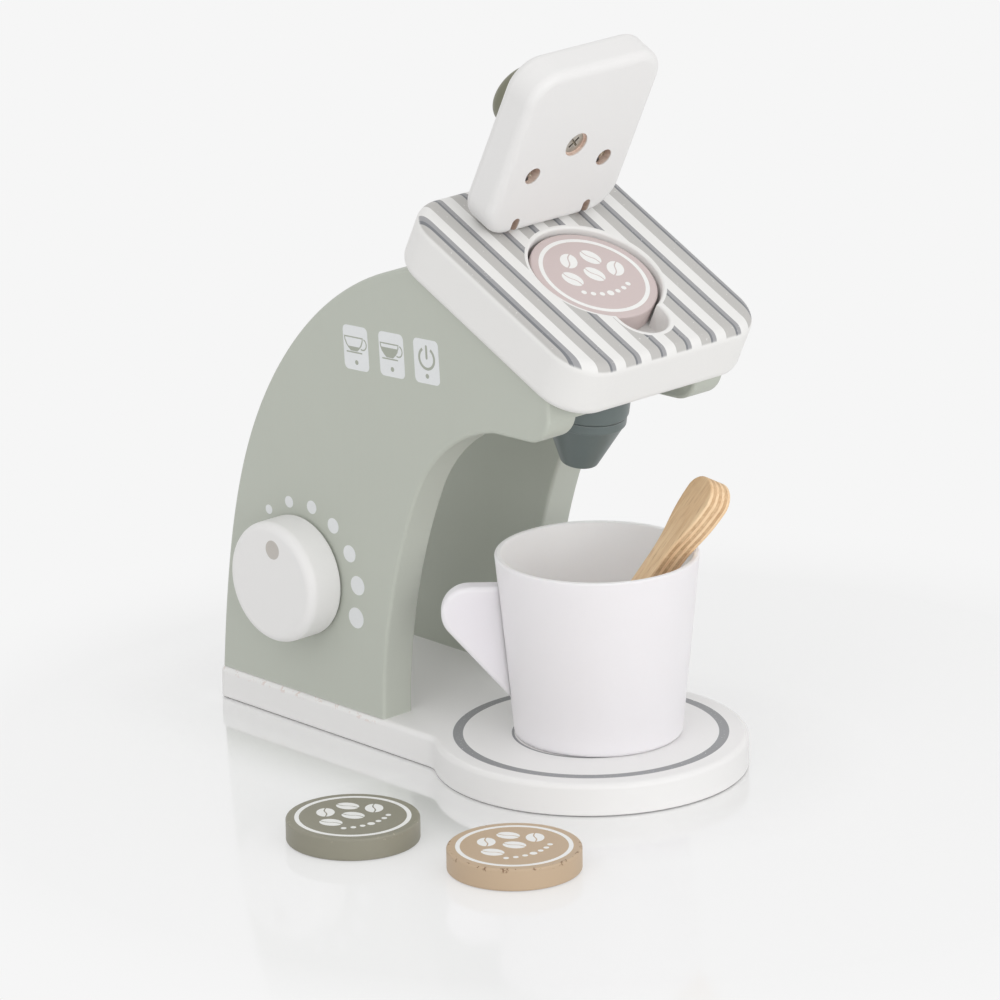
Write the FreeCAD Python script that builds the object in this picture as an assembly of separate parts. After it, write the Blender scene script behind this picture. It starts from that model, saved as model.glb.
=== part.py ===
import FreeCAD, Part
import math
import os
from FreeCAD import Placement, Rotation, Vector

# Toy coffee maker of painted wood: base plate, two arched side panels, sloped head board
# with a pod pocket, lid on two elastic cords, nozzle, dial, cup with a stirrer, and three pods.
# Millimetres, +Z up, front towards -Y, dial on the -X side.
# The origin is on the underside of the base, below the middle of the round front end.

# Base plate
BASE_THICK = 10.0
BASE_WIDTH = 75.0
BASE_BACK = 128.2
DISC_RADIUS = 48.0
NECK_RADIUS = 8.0
BASE_TOP_EASE = 1.8
BASE_LOW_EASE = 0.6
BASE_CORNER = 3.0

# Side panels
PANEL_THICK = 12.0
PANEL_INSET = 0.8
PANEL_EASE = 1.2
PANEL_BACK = 126.8
PANEL_FOOT_FRONT = 53.0
BACK_LOW_Y = 123.6
BACK_LOW_Z = 41.9
BACK_BOW_Y = 109.8
BACK_BOW_Z = 93.7
BACK_HIGH_Y = 87.4
BACK_HIGH_Z = 127.2
ARCH_SHIN_Y = 47.6
ARCH_SHIN_Z = 54.0
ARCH_KNEE_Y = 37.0
ARCH_KNEE_Z = 85.0
ARCH_BOW_Y = 24.5
ARCH_BOW_Z = 101.8
ARCH_CROWN_Y = 3.0
ARCH_CROWN_Z = 112.3
NOSE_UNDER_Y = -12.5
NOSE_UNDER_Z = 112.9
NOSE_BOW_Y = -18.4
NOSE_BOW_Z = 115.6
NOSE_TIP_Y = -21.0
NOSE_TIP_Z = 120.5
PANEL_TOP_REAR = 35.0
PANEL_TOP_FRONT = -32.0

# Head board, in its own sloped frame: Y runs up the slope to the rear, Z is its normal
HEAD_Y = -0.4
HEAD_Z = 158.2
HEAD_SLOPE = 25.6
HEAD_WIDTH = 79.0
HEAD_LENGTH = 86.0
HEAD_THICK = 19.0
HEAD_CORNER = 14.0
HEAD_EASE = 3.5

# Pods and the pocket that one of them sits in
POD_RADIUS = 20.0
POD_THICK = 6.9
POD_EASE = 0.6
POCKET_Y = -4.0
POCKET_PLAY = 1.0
POCKET_DEPTH = 8.6
POCKET_EASE = 0.8
NOTCH_RADIUS = 8.5
NOTCH_REACH = 34.0
POD_SEAT_GAP = 0.05
GREEN_POD = (-95.8, 3.0)
TAN_POD = (-79.8, -49.5)

# Lid
LID_WIDTH = 54.0
LID_LENGTH = 60.0
LID_THICK = 12.5
LID_CORNER = 10.5
LID_EASE = 3.0
LID_SEAT_GAP = 0.15
PIVOT_Y = 19.2

# Hinge cords, knotted in the lid and under the head board
CORD_RADIUS = 1.2
CORD_PLAY = 0.3
CORD_OFFSET = 14.7
CORD_DEPTH = 3.2
CORD_SLOT_LENGTH = 6.2
KNOT_RISE = 22.2
KNOT_RADIUS = 2.0
KNOT_HOLE_RADIUS = 2.9
KNOT_HOLE_DEPTH = 6.5
KNOT_RECESS_DEPTH = 5.0

# Lid knob and its screw
LID_KNOB_RISE = 30.5
LID_KNOB_RADIUS = 10.5
LID_KNOB_HEIGHT = 16.5
LID_KNOB_STEM_RADIUS = 6.0
LID_KNOB_STEM = 6.5
LID_KNOB_EASE = 3.5
LID_SCREW_BITE = 10.0
SINK_RADIUS = 4.2
SINK_DEPTH = 1.2

# Cross block under the head board and the nozzle below it
BLOCK_REAR = 2.0
BLOCK_FRONT = -30.0
BLOCK_HEIGHT = 12.0
NOZZLE_SLOPE = 10.5
NOZZLE_TIP_Y = 4.0
NOZZLE_TIP_Z = 95.2
BOSS_RADIUS = 13.0
BOSS_REACH = 20.0
NOZZLE_TOP_RADIUS = 12.6
NOZZLE_LIP = 0.4
NOZZLE_BAND = 3.0
NOZZLE_CONE = 14.5
NOZZLE_TIP_RADIUS = 5.6
NOZZLE_BORE_RADIUS = 3.7
NOZZLE_BORE_DEPTH = 9.0
NOZZLE_SCREW_LENGTH = 28.0
NOZZLE_EASE = 1.0

# Dial
DIAL_Y = 89.5
DIAL_Z = 48.5
DIAL_RADIUS = 19.0
DIAL_THICK = 12.4
DIAL_GAP = 0.5
DIAL_FACE_EASE = 3.0
DIAL_BACK_EASE = 0.8
AXLE_RADIUS = 2.0
AXLE_PLAY = 0.05
AXLE_BITE = 8.0
WASHER_RADIUS = 5.5
WASHER_THICK = 1.0
WASHER_GAP = 0.3

# Wood screws and dowels
SCREW_RADIUS = 1.7
SCREW_HEAD_RADIUS = 3.6
SCREW_HEAD_HEIGHT = 2.2
SCREW_SLOT = 0.7
SCREW_SLOT_LENGTH = 4.3
SCREW_SLOT_TURNS = (45, 135)
SCREW_PLAY = 0.02
SCREW_SINK = 0.4
PANEL_SCREW_LENGTH = 30.0
PANEL_SCREW_FRONT = 64.0
PANEL_SCREW_REAR = 114.0
DOWEL_RADIUS = 3.0
DOWEL_LENGTH = 16.0
PANEL_DOWEL_Y = 89.0
BLOCK_DOWEL_REAR = -3.0
BLOCK_DOWEL_FRONT = -24.0
HEAD_SCREW_X = 17.0
HEAD_SCREW_Y = -8.0
HEAD_SCREW_LENGTH = 20.0

# Cup and its handle
CUP_X = 2.4
CUP_Y = -0.9
CUP_HEIGHT = 57.2
CUP_RIM_RADIUS = 31.1
CUP_FOOT_RADIUS = 25.6
CUP_WALL = 1.8
CUP_FLOOR = 3.0
CUP_RIM_EASE = 0.6
CUP_FOOT_EASE = 1.5
HANDLE_ROOT = 20.5
HANDLE_ANGLE = 137.0
HANDLE_THICK = 7.0
HANDLE_EASE = 1.5
HANDLE_TIP = 57.8
HANDLE_TOP = 47.3
HANDLE_CORNER_RADIUS = 8.6
HANDLE_LOW = 12.0

# Stirrer, leaning from the cup's floor to the rim
SPOON_LENGTH = 86.0
SPOON_LEAN = 33.6
SPOON_TURN = -43.45
SPOON_ROLL = -60.0
SPOON_THICK = 8.2
SPOON_STICK = 6.5
SPOON_PADDLE = 12.5
SPOON_PADDLE_LENGTH = 24.0
SPOON_WAIST = 14.0
SPOON_EASE = 0.5
SPOON_FOOT_X = -11.0
SPOON_FOOT_Z = 6.8

# Values that follow from the ones above
PANEL_OUT = BASE_WIDTH / 2 - PANEL_INSET
PANEL_IN = PANEL_OUT - PANEL_THICK
DISC_TOP = BASE_THICK
HEAD_FRAME = Placement(Vector(0, HEAD_Y, HEAD_Z), Rotation(Vector(1, 0, 0), HEAD_SLOPE))
BLOCK_LOW = -HEAD_THICK - BLOCK_HEIGHT
NOZZLE_TOP = NOZZLE_CONE + NOZZLE_BAND
NOZZLE_FRAME = Placement(Vector(0, NOZZLE_TIP_Y, NOZZLE_TIP_Z), Rotation(Vector(1, 0, 0), NOZZLE_SLOPE))
POD_LOW = -POCKET_DEPTH + POD_SEAT_GAP
CORD_HOLE = CORD_RADIUS + CORD_PLAY
LID_LOW = LID_SEAT_GAP
OVER = 1.0
NEAR = 0.01


def axis_cylinder(radius, length, start, direction):
    """A round bar from a start point along a direction."""
    return Part.makeCylinder(radius, length, start, direction)


def face_from(points_and_arcs):
    """A flat face from a closed list of edges."""
    return Part.Face(Part.Wire(Part.__sortEdges__(points_and_arcs)))


def line(start, end):
    """A straight edge."""
    return Part.LineSegment(start, end).toShape()


def bow(start, middle, end):
    """An arc edge through three points."""
    return Part.Arc(start, middle, end).toShape()


def to_head(shape):
    """A copy of a shape moved from the head board's own frame to the object's frame."""
    moved = shape.copy()
    moved.Placement = HEAD_FRAME.multiply(moved.Placement)
    return moved


def to_nozzle(shape):
    """A copy of a shape moved from the nozzle's own frame, which starts at its tip."""
    moved = shape.copy()
    moved.Placement = NOZZLE_FRAME.multiply(moved.Placement)
    return moved


def edges_near(shape, test):
    """The edges whose middle point passes a test."""
    found = []
    for edge in shape.Edges:
        middle = edge.valueAt((edge.FirstParameter + edge.LastParameter) / 2)
        if test(middle):
            found.append(edge)
    return found


def rounded_plate(width, length, thick, corner, ease):
    """A plate with rounded corners and eased faces, centred on X and Y, from Z 0 up."""
    plate = Part.makeBox(width, length, thick, Vector(-width / 2, -length / 2, 0))
    uprights = edges_near(plate, lambda p: abs(p.z - thick / 2) < NEAR)
    plate = plate.makeFillet(corner, uprights)
    rims = edges_near(plate, lambda p: min(p.z, thick - p.z) < NEAR)
    return plate.makeFillet(ease, rims)


def screw(length, start, direction, shank=SCREW_RADIUS):
    """A countersunk wood screw with a crossed recess; its head's flat top is at the start."""
    head = Part.makeCone(SCREW_HEAD_RADIUS, shank, SCREW_HEAD_HEIGHT)
    body = head.fuse(Part.makeCylinder(shank, length))
    for turn in SCREW_SLOT_TURNS:
        slot = Part.makeBox(SCREW_SLOT_LENGTH, SCREW_SLOT, SCREW_HEAD_HEIGHT / 2)
        slot.translate(Vector(-SCREW_SLOT_LENGTH / 2, -SCREW_SLOT / 2, 0))
        slot.rotate(Vector(0, 0, 0), Vector(0, 0, 1), turn)
        body = body.cut(slot)
    body.Placement = Placement(start, Rotation(Vector(0, 0, 1), direction))
    return body


def screw_hole(length, start, direction, sink=SCREW_SINK, shank=SCREW_RADIUS):
    """The countersunk hole that a screw sits in; the sink is how far its head lies below the face."""
    wide = SCREW_HEAD_RADIUS + SCREW_PLAY
    cone = Part.makeCone(wide, shank + SCREW_PLAY, SCREW_HEAD_HEIGHT)
    mouth = Part.makeCylinder(wide, sink + OVER, Vector(0, 0, -sink - OVER))
    shaft = Part.makeCylinder(shank + SCREW_PLAY, length + SCREW_PLAY)
    hole = cone.fuse([mouth, shaft])
    hole.Placement = Placement(start, Rotation(Vector(0, 0, 1), direction))
    return hole


def base_outline():
    """The keyhole outline: a straight body that necks out into a round front end."""
    half = BASE_WIDTH / 2
    far = DISC_RADIUS + NECK_RADIUS
    neck_x = half + NECK_RADIUS
    neck_y = math.sqrt(far ** 2 - neck_x ** 2)
    share = DISC_RADIUS / far
    touch = Vector(neck_x * share, neck_y * share, 0)
    aim = (Vector(half, neck_y, 0) + touch) * 0.5 - Vector(neck_x, neck_y, 0)
    middle = Vector(neck_x, neck_y, 0) + aim * (NECK_RADIUS / aim.Length)
    edges = [line(Vector(-half, BASE_BACK, 0), Vector(half, BASE_BACK, 0))]
    for side in (1, -1):
        shoulder = Vector(side * half, neck_y, 0)
        edges.append(line(Vector(side * half, BASE_BACK, 0), shoulder))
        edges.append(bow(shoulder, Vector(side * middle.x, middle.y, 0), Vector(side * touch.x, touch.y, 0)))
    edges.append(bow(touch, Vector(0, -DISC_RADIUS, 0), Vector(-touch.x, touch.y, 0)))
    return face_from(edges)


def panel_screw_places():
    """Where the screws come up through the base into the panels' feet."""
    middle = (PANEL_OUT + PANEL_IN) / 2
    return [Vector(side * middle, y, SCREW_SINK)
            for side in (-1, 1) for y in (PANEL_SCREW_FRONT, PANEL_SCREW_REAR)]


def panel_dowel_places():
    """Where the dowels stand between the base and the panels' feet."""
    middle = (PANEL_OUT + PANEL_IN) / 2
    low = BASE_THICK - DOWEL_LENGTH / 2
    return [Vector(side * middle, PANEL_DOWEL_Y, low) for side in (-1, 1)]


def make_base():
    """The base plate, with eased edges and the holes for screws and dowels."""
    plate = base_outline().extrude(Vector(0, 0, BASE_THICK))
    half = BASE_WIDTH / 2
    corners = edges_near(plate, lambda p: p.y > BASE_BACK - NEAR and abs(abs(p.x) - half) < NEAR)
    plate = plate.makeFillet(BASE_CORNER, corners)
    plate = plate.makeFillet(BASE_TOP_EASE, edges_near(plate, lambda p: p.z > BASE_THICK - NEAR))
    plate = plate.makeFillet(BASE_LOW_EASE, edges_near(plate, lambda p: p.z < NEAR))
    for place in panel_screw_places():
        plate = plate.cut(screw_hole(PANEL_SCREW_LENGTH, place, Vector(0, 0, 1)))
    for place in panel_dowel_places():
        plate = plate.cut(axis_cylinder(DOWEL_RADIUS, DOWEL_LENGTH, place, Vector(0, 0, 1)))
    return plate


def head_point(y, z):
    """A point of the head board's frame, in the object's Y and Z."""
    return HEAD_FRAME.multVec(Vector(0, y, z))


def panel_face():
    """The side panel's outline: curved back, sloped top, rounded nose and the arch."""
    top_rear = head_point(PANEL_TOP_REAR, -HEAD_THICK)
    top_front = head_point(PANEL_TOP_FRONT, -HEAD_THICK)
    foot_back = Vector(0, PANEL_BACK, BASE_THICK)
    foot_front = Vector(0, PANEL_FOOT_FRONT, BASE_THICK)
    knee = Vector(0, ARCH_KNEE_Y, ARCH_KNEE_Z)
    crown = Vector(0, ARCH_CROWN_Y, ARCH_CROWN_Z)
    under = Vector(0, NOSE_UNDER_Y, NOSE_UNDER_Z)
    tip = Vector(0, NOSE_TIP_Y, NOSE_TIP_Z)
    back = Part.BSplineCurve()
    back.interpolate([foot_back, Vector(0, BACK_LOW_Y, BACK_LOW_Z), Vector(0, BACK_BOW_Y, BACK_BOW_Z),
                      Vector(0, BACK_HIGH_Y, BACK_HIGH_Z), top_rear])
    edges = [back.toShape()]
    edges.append(line(top_rear, top_front))
    edges.append(line(top_front, tip))
    edges.append(bow(tip, Vector(0, NOSE_BOW_Y, NOSE_BOW_Z), under))
    edges.append(line(under, crown))
    edges.append(bow(crown, Vector(0, ARCH_BOW_Y, ARCH_BOW_Z), knee))
    edges.append(bow(knee, Vector(0, ARCH_SHIN_Y, ARCH_SHIN_Z), foot_front))
    edges.append(line(foot_front, foot_back))
    return face_from(edges)


def make_panel(side):
    """One side panel; side is -1 at the dial and 1 at the far side."""
    plate = panel_face().extrude(Vector(PANEL_THICK, 0, 0))
    plate.translate(Vector(PANEL_IN if side > 0 else -PANEL_OUT, 0, 0))
    head_low = head_point(0, -HEAD_THICK)
    normal = HEAD_FRAME.Rotation.multVec(Vector(0, 0, 1))

    def is_rim(p):
        on_face = min(abs(abs(p.x) - PANEL_OUT), abs(abs(p.x) - PANEL_IN)) < NEAR
        under_head = abs((p - head_low).dot(normal)) < NEAR
        return on_face and p.z > BASE_THICK + NEAR and not under_head

    plate = plate.makeFillet(PANEL_EASE, edges_near(plate, is_rim))
    for place in panel_screw_places():
        plate = plate.cut(screw_hole(PANEL_SCREW_LENGTH, place, Vector(0, 0, 1)))
    for place in panel_dowel_places():
        plate = plate.cut(axis_cylinder(DOWEL_RADIUS, DOWEL_LENGTH, place, Vector(0, 0, 1)))
    for dowel in block_dowels():
        plate = plate.cut(dowel)
    if side < 0:
        start = Vector(-PANEL_OUT - OVER, DIAL_Y, DIAL_Z)
        hole = axis_cylinder(AXLE_RADIUS + AXLE_PLAY, PANEL_THICK + 2 * OVER, start, Vector(1, 0, 0))
        plate = plate.cut(hole)
    return plate


def make_panel_screws():
    """The screws that hold the panels on the base, as one group."""
    up = Vector(0, 0, 1)
    return Part.makeCompound([screw(PANEL_SCREW_LENGTH, p, up) for p in panel_screw_places()])


def make_panel_dowels():
    """The dowels between the base and the panels, as one group."""
    up = Vector(0, 0, 1)
    return Part.makeCompound([axis_cylinder(DOWEL_RADIUS, DOWEL_LENGTH, p, up)
                              for p in panel_dowel_places()])


def block_dowels():
    """The dowels that key the cross block between the panels."""
    found = []
    for side in (-1, 1):
        for y in (BLOCK_DOWEL_REAR, BLOCK_DOWEL_FRONT):
            low_x = side * PANEL_IN - DOWEL_LENGTH / 2
            place = Vector(low_x, y, -HEAD_THICK - BLOCK_HEIGHT / 2)
            found.append(to_head(axis_cylinder(DOWEL_RADIUS, DOWEL_LENGTH, place, Vector(1, 0, 0))))
    return found


def head_screw_places():
    """Where the screws come up through the cross block, in the head board's frame."""
    return [Vector(side * HEAD_SCREW_X, HEAD_SCREW_Y, BLOCK_LOW + SCREW_SINK) for side in (-1, 1)]


def nozzle_screw_place():
    """Where the nozzle's screw head lies in the nozzle's bore, in the nozzle's frame."""
    return Vector(0, 0, NOZZLE_BORE_DEPTH)


def nozzle_shaft():
    """The hole that the nozzle's screw takes, through all that it passes."""
    length = NOZZLE_SCREW_LENGTH + SCREW_PLAY
    return to_nozzle(axis_cylinder(SCREW_RADIUS + SCREW_PLAY, length, nozzle_screw_place(), Vector(0, 0, 1)))


def make_cross_block():
    """The block between the panels that carries the head board and the nozzle."""
    width = 2 * PANEL_IN
    length = BLOCK_REAR - BLOCK_FRONT
    block = Part.makeBox(width, length, BLOCK_HEIGHT, Vector(-width / 2, BLOCK_FRONT, BLOCK_LOW))
    for place in head_screw_places():
        block = block.cut(screw_hole(HEAD_SCREW_LENGTH, place, Vector(0, 0, 1)))
    block = to_head(block).cut(nozzle_shaft())
    for dowel in block_dowels():
        block = block.cut(dowel)
    return block


def make_head_board():
    """The sloped head board with the pod pocket, the finger notch and the cord holes."""
    board = rounded_plate(HEAD_WIDTH, HEAD_LENGTH, HEAD_THICK, HEAD_CORNER, HEAD_EASE)
    board.translate(Vector(0, 0, -HEAD_THICK))
    floor = Vector(0, POCKET_Y, -POCKET_DEPTH)
    up = Vector(0, 0, 1)
    pocket = axis_cylinder(POD_RADIUS + POCKET_PLAY, POCKET_DEPTH + OVER, floor, up)
    notch_y = -NOTCH_REACH + NOTCH_RADIUS
    notch = axis_cylinder(NOTCH_RADIUS, POCKET_DEPTH + OVER, Vector(0, notch_y, -POCKET_DEPTH), up)
    way = Part.makeBox(2 * NOTCH_RADIUS, POCKET_Y - notch_y, POCKET_DEPTH + OVER,
                       Vector(-NOTCH_RADIUS, notch_y, -POCKET_DEPTH))
    board = board.cut(pocket.fuse([notch, way]).removeSplitter())
    reach = POD_RADIUS + POCKET_PLAY + OVER

    def on_pocket(p):
        inside = abs(p.x) < reach and -NOTCH_REACH - OVER < p.y < POCKET_Y + reach
        return inside and p.z > -NEAR

    board = board.makeFillet(POCKET_EASE, edges_near(board, on_pocket))
    for side in (-1, 1):
        place = Vector(side * CORD_OFFSET, PIVOT_Y + CORD_DEPTH, -HEAD_THICK - OVER)
        board = board.cut(axis_cylinder(CORD_HOLE, HEAD_THICK + 2 * OVER, place, up))
        board = board.cut(axis_cylinder(KNOT_HOLE_RADIUS, KNOT_RECESS_DEPTH + OVER, place, up))
    for place in head_screw_places():
        board = board.cut(screw_hole(HEAD_SCREW_LENGTH, place, up))
    return to_head(board)


def make_head_screws():
    """The screws through the cross block into the head board, as one group."""
    up = Vector(0, 0, 1)
    return Part.makeCompound([to_head(screw(HEAD_SCREW_LENGTH, p, up)) for p in head_screw_places()])


def make_nozzle_boss():
    """The turned spacer on the nozzle, cut on top to the slope of the cross block."""
    boss = axis_cylinder(BOSS_RADIUS, BOSS_REACH, Vector(0, 0, NOZZLE_TOP), Vector(0, 0, 1))
    boss = boss.makeFillet(NOZZLE_EASE, edges_near(boss, lambda p: p.z < NOZZLE_TOP + NEAR))
    corner = Vector(-HEAD_WIDTH / 2, -HEAD_LENGTH / 2, BLOCK_LOW)
    above = Part.makeBox(HEAD_WIDTH, HEAD_LENGTH, HEAD_LENGTH, corner)
    return to_nozzle(boss).cut(to_head(above)).cut(nozzle_shaft())


def make_nozzle():
    """The turned nozzle: a short band, then a cone, with a blind bore at its tip."""
    up = Vector(0, 0, 1)
    band = axis_cylinder(NOZZLE_TOP_RADIUS, NOZZLE_BAND, Vector(0, 0, NOZZLE_CONE), up)
    band = band.makeFillet(NOZZLE_LIP, edges_near(band, lambda p: p.z < NOZZLE_CONE + NEAR))
    cone = Part.makeCone(NOZZLE_TIP_RADIUS, NOZZLE_TOP_RADIUS - NOZZLE_LIP, NOZZLE_CONE)
    body = band.fuse(cone)
    body = body.makeFillet(NOZZLE_EASE, edges_near(body, lambda p: p.z < NEAR))
    bore = axis_cylinder(NOZZLE_BORE_RADIUS, NOZZLE_BORE_DEPTH + OVER, Vector(0, 0, -OVER), up)
    hole = screw_hole(NOZZLE_SCREW_LENGTH, nozzle_screw_place(), up)
    return to_nozzle(body.cut(bore).cut(hole))


def make_nozzle_screw():
    """The screw that holds the nozzle and its spacer under the cross block."""
    return to_nozzle(screw(NOZZLE_SCREW_LENGTH, nozzle_screw_place(), Vector(0, 0, 1)))


def make_lid():
    """The lid, standing open square to the head board, with its holes and cord channels."""
    plate = rounded_plate(LID_WIDTH, LID_LENGTH, LID_THICK, LID_CORNER, LID_EASE)
    plate.rotate(Vector(0, 0, 0), Vector(1, 0, 0), 90)
    plate.translate(Vector(0, PIVOT_Y + LID_THICK, LID_LOW + LID_LENGTH / 2))
    back = Vector(0, 1, 0)
    for side in (-1, 1):
        x = side * CORD_OFFSET
        front = PIVOT_Y - OVER
        top = CORD_SLOT_LENGTH - CORD_HOLE
        channel = axis_cylinder(CORD_HOLE, KNOT_RISE + OVER, Vector(x, PIVOT_Y + CORD_DEPTH, -OVER),
                                Vector(0, 0, 1))
        knot_hole = axis_cylinder(KNOT_HOLE_RADIUS, KNOT_HOLE_DEPTH + OVER, Vector(x, front, KNOT_RISE), back)
        slot = Part.makeBox(2 * CORD_HOLE, CORD_DEPTH + OVER, top + OVER, Vector(x - CORD_HOLE, front, -OVER))
        arch = axis_cylinder(CORD_HOLE, CORD_DEPTH + OVER, Vector(x, front, top), back)
        plate = plate.cut(channel).cut(knot_hole).cut(slot.fuse(arch))
    place = Vector(0, PIVOT_Y + SINK_DEPTH, LID_KNOB_RISE)
    sink = axis_cylinder(SINK_RADIUS, SINK_DEPTH + OVER, Vector(0, PIVOT_Y - OVER, LID_KNOB_RISE), back)
    hole = screw_hole(lid_screw_length(), place, back, sink=0)
    return to_head(plate.cut(sink).cut(hole))


def lid_screw_length():
    """The lid screw passes the lid and ends inside the knob."""
    return LID_THICK - SINK_DEPTH + LID_SCREW_BITE


def make_lid_screw():
    """The crossed screw in the lid's underside."""
    place = Vector(0, PIVOT_Y + SINK_DEPTH, LID_KNOB_RISE)
    return to_head(screw(lid_screw_length(), place, Vector(0, 1, 0)))


def make_lid_knob():
    """The turned knob on the lid's outer face: a stem that swells into a rounded head."""
    start = Vector(0, PIVOT_Y + LID_THICK, LID_KNOB_RISE)
    head_height = LID_KNOB_HEIGHT - LID_KNOB_STEM
    stem = Part.makeCone(LID_KNOB_STEM_RADIUS, LID_KNOB_RADIUS, LID_KNOB_STEM)
    head = Part.makeCylinder(LID_KNOB_RADIUS, head_height, Vector(0, 0, LID_KNOB_STEM))
    knob = stem.fuse(head).removeSplitter()
    knob = knob.makeFillet(LID_KNOB_EASE, edges_near(knob, lambda p: p.z > LID_KNOB_HEIGHT - NEAR))
    hole = Part.makeCylinder(SCREW_RADIUS + SCREW_PLAY, LID_SCREW_BITE)
    knob = knob.cut(hole)
    knob.Placement = Placement(start, Rotation(Vector(0, 0, 1), Vector(0, 1, 0)))
    return to_head(knob)


def knot(place):
    """A tied knot as a ball at the end of a cord."""
    return Part.makeSphere(KNOT_RADIUS, place)


def make_lid_cords():
    """The cords' upper halves, knotted in the lid, as one group."""
    halves = []
    for side in (-1, 1):
        foot = Vector(side * CORD_OFFSET, PIVOT_Y + CORD_DEPTH, LID_LOW)
        run = axis_cylinder(CORD_RADIUS, KNOT_RISE - LID_LOW, foot, Vector(0, 0, 1))
        halves.append(run.fuse(knot(Vector(foot.x, foot.y, KNOT_RISE))))
    return to_head(Part.makeCompound(halves))


def make_head_cords():
    """The cords' lower halves, knotted under the head board, as one group."""
    halves = []
    low = -HEAD_THICK + KNOT_RECESS_DEPTH / 2
    for side in (-1, 1):
        foot = Vector(side * CORD_OFFSET, PIVOT_Y + CORD_DEPTH, low)
        run = axis_cylinder(CORD_RADIUS, -low, foot, Vector(0, 0, 1))
        halves.append(run.fuse(knot(foot)))
    return to_head(Part.makeCompound(halves))


def make_dial_knob():
    """The dial, a thick turned disc with a rounded face edge."""
    knob = Part.makeCylinder(DIAL_RADIUS, DIAL_THICK)
    knob = knob.makeFillet(DIAL_FACE_EASE, edges_near(knob, lambda p: p.z > DIAL_THICK - NEAR))
    knob = knob.makeFillet(DIAL_BACK_EASE, edges_near(knob, lambda p: p.z < NEAR))
    knob = knob.cut(Part.makeCylinder(AXLE_RADIUS + SCREW_PLAY, AXLE_BITE))
    start = Vector(-PANEL_OUT - DIAL_GAP, DIAL_Y, DIAL_Z)
    knob.Placement = Placement(start, Rotation(Vector(0, 0, 1), Vector(-1, 0, 0)))
    return knob


def washer_face():
    """The X of the washer's outer face, where the axle screw's head rests."""
    return -PANEL_IN + WASHER_GAP + WASHER_THICK


def make_dial_washer():
    """The washer under the axle screw's head, inside the panel."""
    start = Vector(-PANEL_IN + WASHER_GAP, DIAL_Y, DIAL_Z)
    ring = axis_cylinder(WASHER_RADIUS, WASHER_THICK, start, Vector(1, 0, 0))
    return ring.cut(axis_cylinder(AXLE_RADIUS + SCREW_PLAY, WASHER_THICK, start, Vector(1, 0, 0)))


def make_dial_screw():
    """The axle screw: round head inside the panel, shank through it into the dial."""
    start = Vector(washer_face(), DIAL_Y, DIAL_Z)
    reach = washer_face() + PANEL_OUT + DIAL_GAP + AXLE_BITE
    shank = axis_cylinder(AXLE_RADIUS, reach, start, Vector(-1, 0, 0))
    head = axis_cylinder(SCREW_HEAD_RADIUS, SCREW_HEAD_HEIGHT, start, Vector(1, 0, 0))
    end = start.x + SCREW_HEAD_HEIGHT
    head = head.makeFillet(SCREW_HEAD_HEIGHT / 2, edges_near(head, lambda p: p.x > end - NEAR))
    for turn in (0, 90):
        slot = Part.makeBox(SCREW_HEAD_HEIGHT, 2 * SCREW_RADIUS, SCREW_SLOT)
        slot.translate(Vector(end - SCREW_HEAD_HEIGHT / 2, DIAL_Y - SCREW_RADIUS, DIAL_Z - SCREW_SLOT / 2))
        slot.rotate(start, Vector(1, 0, 0), turn)
        head = head.cut(slot)
    return head.fuse(shank)


def cup_radius(height):
    """The cup's outer radius at a height above its foot."""
    return CUP_FOOT_RADIUS + (CUP_RIM_RADIUS - CUP_FOOT_RADIUS) * height / CUP_HEIGHT


def cup_cone():
    """The cup's solid outer form, standing on the base."""
    cone = Part.makeCone(CUP_FOOT_RADIUS, CUP_RIM_RADIUS, CUP_HEIGHT)
    cone = cone.makeFillet(CUP_FOOT_EASE, edges_near(cone, lambda p: p.z < NEAR))
    cone.translate(Vector(CUP_X, CUP_Y, DISC_TOP))
    return cone


def make_cup():
    """The tapered cup with a thin wall."""
    low = cup_radius(CUP_FLOOR) - CUP_WALL
    hollow = Part.makeCone(low, CUP_RIM_RADIUS - CUP_WALL, CUP_HEIGHT - CUP_FLOOR)
    hollow.translate(Vector(CUP_X, CUP_Y, DISC_TOP + CUP_FLOOR))
    cup = cup_cone().cut(hollow)
    rim = DISC_TOP + CUP_HEIGHT
    return cup.makeFillet(CUP_RIM_EASE, edges_near(cup, lambda p: p.z > rim - NEAR))


def make_cup_handle():
    """The flat three-cornered handle, its inner edge shaped to the cup's wall."""
    tip_high = Vector(HANDLE_TIP, 0, HANDLE_TOP)
    high = Vector(HANDLE_ROOT, 0, HANDLE_TOP)
    foot = cup_radius(HANDLE_LOW)
    slope = (HANDLE_TOP - HANDLE_LOW) / (HANDLE_TIP - foot)
    low = Vector(HANDLE_ROOT, 0, HANDLE_LOW - (foot - HANDLE_ROOT) * slope)
    edges = [line(high, tip_high), line(tip_high, low), line(low, high)]
    plate = face_from(edges).extrude(Vector(0, HANDLE_THICK, 0))
    plate.translate(Vector(0, -HANDLE_THICK / 2, 0))
    corner = edges_near(plate, lambda p: abs(p.y) < NEAR and p.x > HANDLE_TIP - NEAR)
    plate = plate.makeFillet(HANDLE_CORNER_RADIUS, corner)
    rims = edges_near(plate, lambda p: abs(p.y) > HANDLE_THICK / 2 - NEAR and p.x > HANDLE_ROOT + NEAR)
    plate = plate.makeFillet(HANDLE_EASE, rims)
    plate.rotate(Vector(0, 0, 0), Vector(0, 0, 1), HANDLE_ANGLE)
    plate.translate(Vector(CUP_X, CUP_Y, DISC_TOP))
    return plate.cut(cup_cone())


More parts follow.
